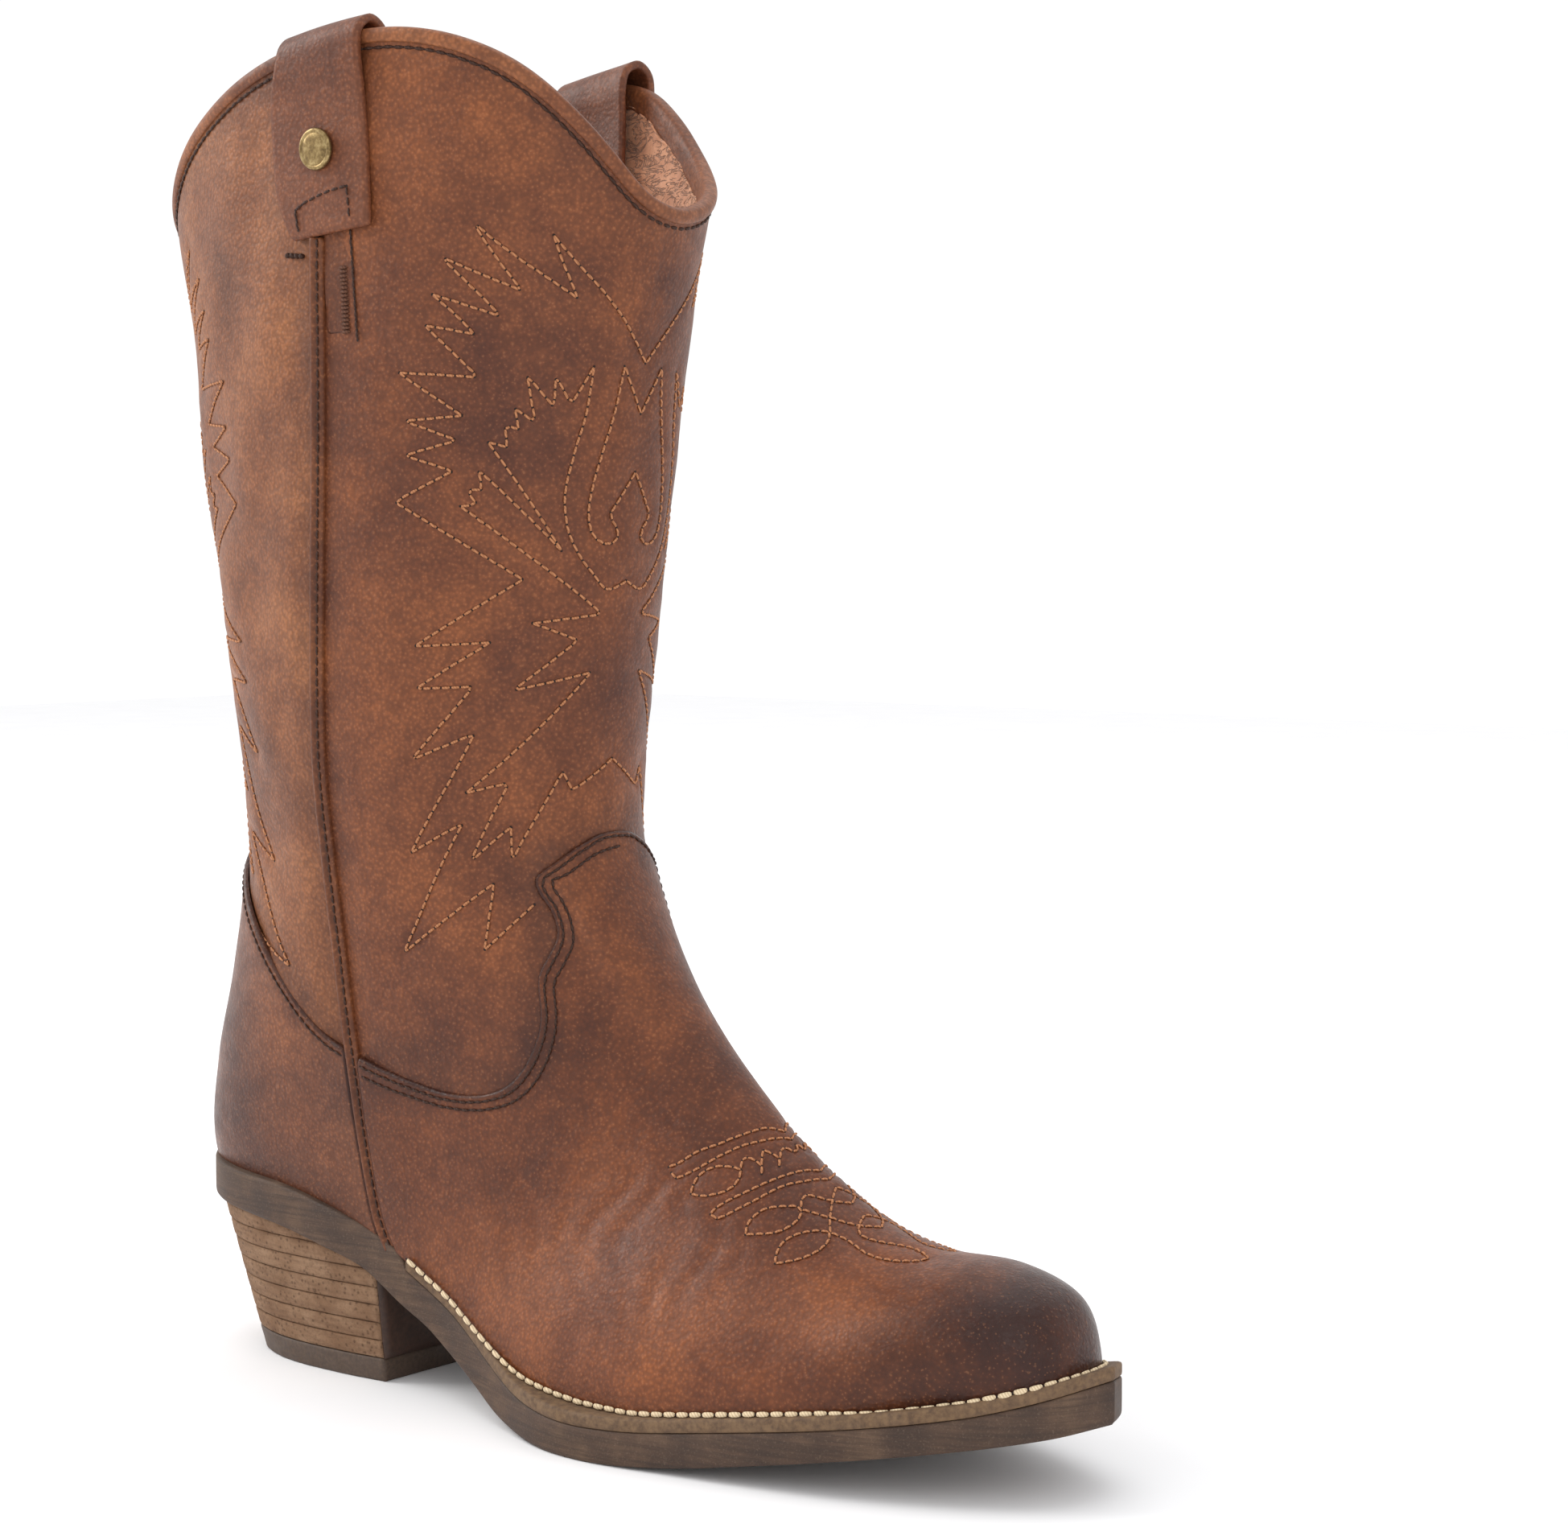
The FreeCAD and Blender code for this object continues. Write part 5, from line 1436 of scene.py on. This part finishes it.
def heel_layer(name, z0, z1, material, node, seed):
    """One lift, its upper face cut to the curve of the seat."""
    rings = []
    rows = ((z0, 5.0), (z0 + 0.02, 0.5), (z0 + 0.25, 0.10), (z0 + 0.8, -0.02),
            ((z0 + z1) / 2, -0.05), (z1 - 0.8, -0.02), (z1 - 0.25, 0.10), (z1 - 0.02, 0.5),
            (z1, 5.0))
    for z, inset in rows:
        xy = heel_ring(z, inset, 0.08, seed + z)
        height = np.minimum(z, tread_z(xy[:, 0]) + 0.2 - 0.05 * (z1 - z))
        rings.append(np.stack([xy[:, 0] - XC, xy[:, 1], height], 1))
    count = len(rings[0])
    faces = band_faces(len(rings), count, True) + end_faces(len(rings), count)
    mesh_object(name, np.vstack(rings), faces, material, (node,))


heel_layer("heel_rubber", 0.0, TOP_PIECE, top_rubber, "heel_top_piece", 1)
for k in range(LIFTS):
    base = TOP_PIECE + GAP + k * (LIFT + GAP)
    heel_layer("heel_layer_%d" % (k + 1), base, base + LIFT, stack_leather,
               "heel_lift_%d" % (k + 1), k + 2)


def heel_breast():
    """Thin dark sheet of painted shade on the front of the heel, from top piece to outsole."""
    rows, across = 12, 16
    verts = []
    for k in range(rows + 1):
        z = TOP_PIECE + (tread_z(HEEL_BREAST) - 0.3 - TOP_PIECE) * k / rows
        half = HEEL_PLAN[0][1] * (HEEL_WIDE + (1 - HEEL_WIDE) * z / HEEL_TOP) - 0.25
        for j in range(across + 1):
            verts.append((HEEL_BREAST - XC + BREAST_SHADE_THICK, half * (2 * j / across - 1), z))
    shade_sheet = mesh_object("heel_breast_shade_sheet", verts, band_faces(rows + 1, across + 1),
                         breast_shade)
    thicken(shade_sheet, BREAST_SHADE_THICK, -1)


heel_breast()


def sock_part():
    """Soft sock over the insole, crowned in the middle, seen down the leg."""
    stations = np.linspace(-0.5, 266, 150)
    rows = []
    t_rows, q_rows = np.meshgrid(np.arange(6, LAST, T_STEP), np.arange(COLS), indexing="ij")
    inner, _ = skin(t_rows, q_rows, LIN_IN - 0.25)
    flat = inner.reshape(-1, 3)
    level = feather_z(flat[:, 0] + XC) + 3.0
    near = flat[np.abs(flat[:, 2] - level) < 1.2]
    half = {}
    for side in (-1, 1):
        own = near[near[:, 1] * side > 0]
        order = np.argsort(own[:, 0])
        own = own[order]
        reach = np.array([np.abs(own[np.abs(own[:, 0] + XC - x) < 2.6, 1]).max()
                          if (np.abs(own[:, 0] + XC - x) < 2.6).any() else 0.0 for x in stations])
        for _ in range(3):
            reach[1:-1] = (reach[:-2] + 2 * reach[1:-1] + reach[2:]) / 4
        half[side] = reach
    ok = (half[-1] > 2) & (half[1] > 2)
    stations = stations[ok]
    left, right = half[-1][ok], half[1][ok]
    verts = []
    wide = 26
    for x, a, b in zip(stations, left, right):
        for j in range(wide + 1):
            v = j / wide
            y = -a + (a + b) * v
            crown = 1.35 - 0.9 * abs(2 * v - 1) ** 6
            verts.append((x - XC, y, feather_z(x) + 2.4 + crown))
    faces = [face[::-1] for face in band_faces(len(stations), wide + 1)]
    obj = mesh_object("sock", verts, faces, lining_leather, ("footbed_sock",))
    thicken(obj, 1.2, -1)


sock_part()


# ---------------------------------------------------------------- pull straps and rivets
def locate(x, z, side, out=MID_OUT):
    """Point and outward normal of the skin where a side view shows x (from heel) and z."""
    cols = slice(4, NS - 3) if side < 0 else slice(NS + 4, COLS - 3)
    grid = RING[:, cols]
    gap = (grid[..., 0] + XC - x) ** 2 + (grid[..., 2] - z) ** 2
    r, c = np.unravel_index(np.argmin(gap), gap.shape)
    t, q = T_ROWS[r], float(c + cols.start)
    for _ in range(4):
        p = skin(t, q)[0]
        dt, dq = skin(t + 0.01, q)[0] - p, skin(t, q + 0.1)[0] - p
        miss = np.array((x - XC - p[0], z - p[2]))
        step = np.linalg.solve(np.array(((dt[0], dq[0]), (dt[2], dq[2]))), miss)
        t, q = t + step[0] * 0.01, q + step[1] * 0.1
    return skin(t, q, out)


STRAP_X, STRAP_Z, STRAP_HALF, STRAP_THICK = 77.6, 320.0, 15.5, 2.2
RIVET_AHEAD = 0.6
STRAP_PATH = (
    (1.6, -20.5), (1.6, -6), (1.6, 5), (2.0, 14), (2.6, 22), (1.8, 27.6), (-2.4, 30.2),
    (-7.0, 27.8), (-8.3, 22.5), (-7.9, 17), (-7.5, 8), (-7.4, -2), (-7.4, -11.5),
)


def wall_frame(x, z, side):
    """Point on the wall and its sideways, outward and up directions."""
    point, normal = locate(x, z, side)
    higher, _ = locate(x, z + 14.0, side)
    up = (higher - point) / np.linalg.norm(higher - point)
    out = normal - up * (normal @ up)
    out /= np.linalg.norm(out)
    return point, np.cross(out, up), out, up


def strap(name, side, node):
    """Leather pull strap folded over the rim and sewn down outside, riveted through."""
    point, across, out, up = wall_frame(STRAP_X, STRAP_Z, side)
    path = smooth_row(STRAP_PATH, 1.0)
    way = unit(np.gradient(path, axis=0))
    face = np.stack([way[:, 1], -way[:, 0]], 1)
    columns = np.linspace(-1, 1, 31)
    forward = across * side
    bend = []
    for v in columns:
        spot, _ = locate(STRAP_X + v * STRAP_HALF, STRAP_Z, side)
        bend.append((spot - point) @ out)
    bend = np.array(bend) * 0.85
    run = run_along(path)
    half_thick = STRAP_THICK / 2
    edge = [(1.0 + reach / STRAP_HALF * 2, h)
            for h, reach in ((0.6, 0.16), (0.0, 0.24), (-0.6, 0.16))]
    ring = [(v, 1.0) for v in columns] + edge
    ring += [(-v, -h) for v, h in ring]
    verts = []
    for k, (spot, side_way) in enumerate(zip(path, face)):
        low = max(0.0, 1 - run[k] / 15.0)
        crown = float(fade(spot[1], 10.0, 29.0))
        rear = STRAP_HALF - 0.3 - 5.5 * low ** 2 - 3.6 * crown
        front = STRAP_HALF - 0.5
        slope = 0.13 * crown + 0.10 * low
        end = min(1.0, 0.45 + run[k] / 1.2, 0.45 + (run[-1] - run[k]) / 1.2)
        for v, h in ring:
            w = v * (front if v > 0 else rear)
            sag = np.interp(w / STRAP_HALF, columns, bend)
            ripple_in = 0.18 * math.sin(run[k] / 7.0 + v * 2.0)
            q, z = spot + side_way * (h * half_thick * end + ripple_in)
            z += slope * (w - 6.0)
            verts.append(point + forward * w + out * (q + sag) + up * z)
    faces = band_faces(len(path), len(ring), True) + end_faces(len(path), len(ring))
    mesh_object(name, verts, faces, strap_leather, (node,))

    def place(w, z, q):
        return (point + forward * w + up * z
                + out * (q + np.interp(w / STRAP_HALF, columns, bend)))
    return place, out


RIVET = (
    (4.42, 0.0), (4.42, 1.0), (4.40, 2.0), (4.36, 3.0), (4.28, 3.75), (4.16, 4.0), (4.12, 4.12),
    (4.20, 4.24), (4.34, 4.36), (4.36, 4.60), (4.26, 4.92), (4.0, 5.18), (3.6, 5.30),
    (3.2, 5.26), (2.9, 5.0), (2.8, 4.3),
)


def turned(name, centre, out, across, profile, material, node, turns=56):
    """Round part turned about the outward axis; profile rows are height and radius."""
    other = np.cross(out, across)
    verts = []
    for height, radius in profile:
        for k in range(turns):
            a = 2 * math.pi * k / turns
            verts.append(centre + out * height
                         + (across * math.cos(a) + other * math.sin(a)) * max(radius, 0.01))
    faces = band_faces(len(profile), turns, True) + [tuple(range(turns))]
    mesh_object(name, verts, faces, material, (node,))


for side, word in ((-1, "lateral"), (1, "medial")):
    place, out = strap("strap_" + word, side, "pull_strap_" + word)
    height = 1.6 + STRAP_THICK / 2 + 0.04
    box = ((-7.4, -19.6), (-8.2, -14.6), (-5, -13.0), (0, -11.4), (5, -10.2), (9.6, -9.6),
           (10.0, -17.4))
    line = [place(box[0][0], box[0][1], height)]
    for (wa, za), (wb, zb) in zip(box, box[1:]):
        line += [place(wa + (wb - wa) * k / 10, za + (zb - za) * k / 10, height)
                 for k in range(1, 11)]
    dark_seams.run(np.array(line), np.tile(out, (len(line), 1)), *BOX_STITCH)
    centre = place(RIVET_AHEAD, 0.0, 0.0)
    forward = place(1.0, 0.0, 0.0) - place(0.0, 0.0, 0.0)
    forward = forward - out * (forward @ out)
    forward /= np.linalg.norm(forward)
    turned("rivet_" + word, centre, out, forward, RIVET, brass_metal,
           "strap_rivet_" + word)


def skin_row(ends, side, out, count=24):
    """Points and normals on the skin along a straight side-view line."""
    (xa, za), (xb, zb) = ends
    spots = [locate(xa + (xb - xa) * u, za + (zb - za) * u, side, out)
             for u in np.linspace(0, 1, count)]
    return np.array([p for p, _ in spots]), np.array([n for _, n in spots])


# tail of each strap under the leather ahead of the piping, sewn down its front side, with
# close ribs of thread beside it, and a bar of thread behind the strap's foot
ribs = Stitches()
for side, word in ((-1, "lateral"), (1, "medial")):
    own = LATERAL if side < 0 else ~LATERAL
    f_tail = np.where(own, np.minimum.reduce([XG - 75.8, 87.0 - XG, ZG - 274.0, 303.0 - ZG]), -9.0)
    leather_sheet("strap_tail_" + word, f_tail, 0.10, shaft_leather,
                  ("strap_tab_" + word,), edge=0.8,
                  rise=lambda t, q, p: 0.12 * np.sin(p[:, 2] / 3.0),
                  burn=lambda t, q, p: np.full(len(t), 0.45))
    points, normals = skin_row(((85.6, 300.5), (86.2, 272.5)), side, 0.30)
    dark_seams.run(points, normals, *SEAM_STITCH)
    for k in range(17):
        z = 290.5 - k
        points, normals = skin_row(((81.4, z), (84.2, z + 0.15)), side, 0.26, 3)
        ribs.run(points, normals, *RIB_STITCH)
    points, normals = skin_row(((63.2, 294.6), (69.8, 294.0)), side, MID_OUT, 8)
    for rise in (0.25, 0.60):
        dark_seams.run(points + normals * rise, normals, *BAR_STITCH)
ribs.finish("strap_tail_ribs", piping_thread, "strap_leather")


# ---------------------------------------------------------------- zip on the inner side
def zip_point(w, n, u):
    return ZIP_LOW + ZIP_SIDE * w + ZIP_OUT * n + ZIP_UP * u


def zip_strip(name, w0, w1, n, u0, u1, material, node, relief, thick):
    """Cloth or leather strip in the frame of the zip, with thickness and relief."""
    wide, tall = 14, int((u1 - u0) / 1.2)
    verts = []
    for k in range(tall + 1):
        u = u0 + (u1 - u0) * k / tall
        for j in range(wide + 1):
            w = w0 + (w1 - w0) * j / wide
            verts.append(zip_point(w, n + relief(w, u), u))
    obj = mesh_object(name, verts, band_faces(tall + 1, wide + 1), material, (node,))
    thicken(obj, thick, 0)
    bevel = obj.modifiers.new("edge", "BEVEL")
    bevel.width = thick * 0.3 * MM
    bevel.segments = 2


TAPE_MID = -3.45
for word, way in (("front", 1), ("rear", -1)):
    zip_strip("tape_" + word, way * 0.8, way * 10.9, TAPE_MID, -4.0, ZIP_RUN + 4.4, zip_cloth,
              "zip_tape_" + word,
              lambda w, u: 0.12 * math.exp(-((abs(w) - 4.0) / 0.8) ** 2), 0.75)


TOOTH_PITCH, TOOTH_SIDES = 2.0, 8


def zip_teeth(name, way, offset, node):
    """Row of moulded teeth, each a rounded block with a head at the closing line."""
    verts, faces = [], []
    rows = ((0.55, 0.30, 0.55), (0.9, 0.52, 0.92), (1.5, 0.46, 0.85), (2.2, 0.40, 0.62),
            (2.9, 0.34, 0.42), (3.05, 0.2, 0.25))
    for k in range(int((ZIP_RUN - 4) / TOOTH_PITCH)):
        u = 2.7 + offset + k * TOOTH_PITCH
        start = len(verts)
        for w, half_u, half_n in rows:
            for j in range(TOOTH_SIDES):
                a = 2 * math.pi * (j + 0.5) / TOOTH_SIDES
                verts.append(zip_point(way * w, -2.2 + half_n * math.sin(a) * 0.95,
                                       u + half_u * math.cos(a) * 1.1))
        faces += band_faces(len(rows), TOOTH_SIDES, True, start)
        faces += end_faces(len(rows), TOOTH_SIDES, start)
    mesh_object(name, verts, faces, coil_plastic, (node,))


zip_teeth("teeth_front", 1, 0.0, "zip_teeth_front")
zip_teeth("teeth_rear", -1, TOOTH_PITCH / 2, "zip_teeth_rear")
zip_strip("guard_flap", -11, 11, -6.0, -6.0, ZIP_RUN + 7, guard_leather,
          "zip_guard", lambda w, u: -0.25 * (w / 11) ** 2 + 0.2 * math.sin(u / 17.0), 1.1)

zip_w = (PG - ZIP_LOW) @ ZIP_SIDE
zip_u = (PG - ZIP_LOW) @ ZIP_UP
for word, w0, w1 in (("front", 4.7, 10.3), ("rear", -8.1, -4.7)):
    f_facing = np.where(PG[..., 1] > 5, np.minimum.reduce(
        [zip_w - w0, w1 - zip_w, ZG - 92.4, ZIP_RUN + 6 - zip_u]), -9.0)
    leather_sheet("facing_" + word, f_facing, 1.25, piping_leather,
                  ("zip_facing_" + word,), edge=0.7)
    for w in ((w0 + 1.4, w1 - 1.3) if word == "front" else (w0 + 1.3,)):
        marks = np.linspace(2.5, ZIP_RUN + 4, 90)
        spots = [locate(*(zip_point(w, 0, u)[[0, 2]] + (XC, 0)), 1, 1.33) for u in marks]
        dark_seams.run(np.array([p for p, _ in spots]), np.array([n for _, n in spots]),
                       *ZIP_STITCH)


# ---------------------------------------------------------------- rows of stitches
for rows, relief in ((vamp_rows, vamp_relief), (counter_rows, counter_relief)):
    for line in rows:
        dark_seams.on_skin(line, TOP_OUT + 0.06, relief, EDGE_STITCH)
points, normals = below_rim(RIM_ROW, MID_OUT - 0.04)
dark_seams.run(points, normals, *RIM_STITCH)
dark_seams.finish("dark_stitches", dark_thread, "piping_leather")

for name, lines, out, relief, stitch, slot in (
        ("shaft_stitches", shaft_lines, MID_OUT + 0.12, shaft_relief, SHAFT_STITCH,
         "shaft_leather"),
        ("toe_stitches", toe_lines, TOP_OUT + 0.10, vamp_relief, TOE_STITCH, "vamp_leather")):
    fancy = Stitches()
    for line in lines:
        fancy.on_skin(line, out, relief, stitch)
    fancy.finish(name, tan_thread, slot)


# ---------------------------------------------------------------- camera, light and floor
# the camera as fitted to the photo's outline: direction, pitch, focal length and place in metres
CAMERA_AZIMUTH, CAMERA_PITCH, CAMERA_LENS = 39.0, 3.92, 73.70
CAMERA_PLACE = (0.639, -0.612, 0.221)


def look():
    azimuth, pitch = math.radians(CAMERA_AZIMUTH), math.radians(CAMERA_PITCH)
    ahead = Vector((-math.sin(azimuth) * math.cos(pitch), math.cos(azimuth) * math.cos(pitch),
                    -math.sin(pitch)))
    right = Vector((math.cos(azimuth), math.sin(azimuth), 0.0))
    up = right.cross(ahead)
    camera = bpy.data.cameras.new("camera")
    camera.sensor_width = 36.0
    camera.lens = CAMERA_LENS
    camera.clip_start = 0.01
    obj = add("camera", camera)
    turn = Matrix((right, up, -ahead)).transposed().to_4x4()
    obj.matrix_world = Matrix.Translation(CAMERA_PLACE) @ turn
    bpy.context.scene.camera = obj


def soft_light(name, place, target, size, power, colour=(1, 1, 1)):
    data = bpy.data.lights.new(name, "AREA")
    data.shape = "RECTANGLE"
    data.size, data.size_y = size
    data.energy = power
    data.color = colour
    obj = add(name, data)
    way = Vector(target) - Vector(place)
    obj.matrix_world = Matrix.Translation(place) @ way.to_track_quat("-Z", "Y").to_matrix().to_4x4()


def studio():
    m = Maker("floor_paper", 0.9, specular=0.1)
    fine = m.noise(60, 2.0)
    paper = m.finish(m.mix(fine, tone(244, 244, 246), tone(250, 250, 251)))
    steps, reach = 24, 3.0
    marks = [reach * (2 * k / steps - 1) for k in range(steps + 1)]
    verts = [(x, y, 0.0) for x in marks for y in marks]
    faces = [face[::-1] for face in band_faces(steps + 1, steps + 1)]
    mesh = bpy.data.meshes.new("floor")
    mesh.from_pydata(verts, [], faces)
    floor = add("floor", mesh)
    mesh.materials.append(paper)
    world = bpy.data.worlds.new("studio")
    world.use_nodes = True
    world.node_tree.nodes["Background"].inputs[0].default_value = (1, 1, 1, 1)
    world.node_tree.nodes["Background"].inputs[1].default_value = 1.03
    bpy.context.scene.world = world
    soft_light("key", (-1.5, -0.75, 1.25), (0.02, 0, 0.17), (1.1, 1.1), 22, (1.0, 0.985, 0.96))
    soft_light("front", (1.5, -1.0, 0.9), (0.06, 0, 0.12), (0.5, 1.2), 4)
    soft_light("top", (0.1, 0.3, 1.9), (0.04, 0, 0.1), (1.4, 1.4), 6)
    bpy.context.scene.view_settings.view_transform = "Standard"


look()
studio()
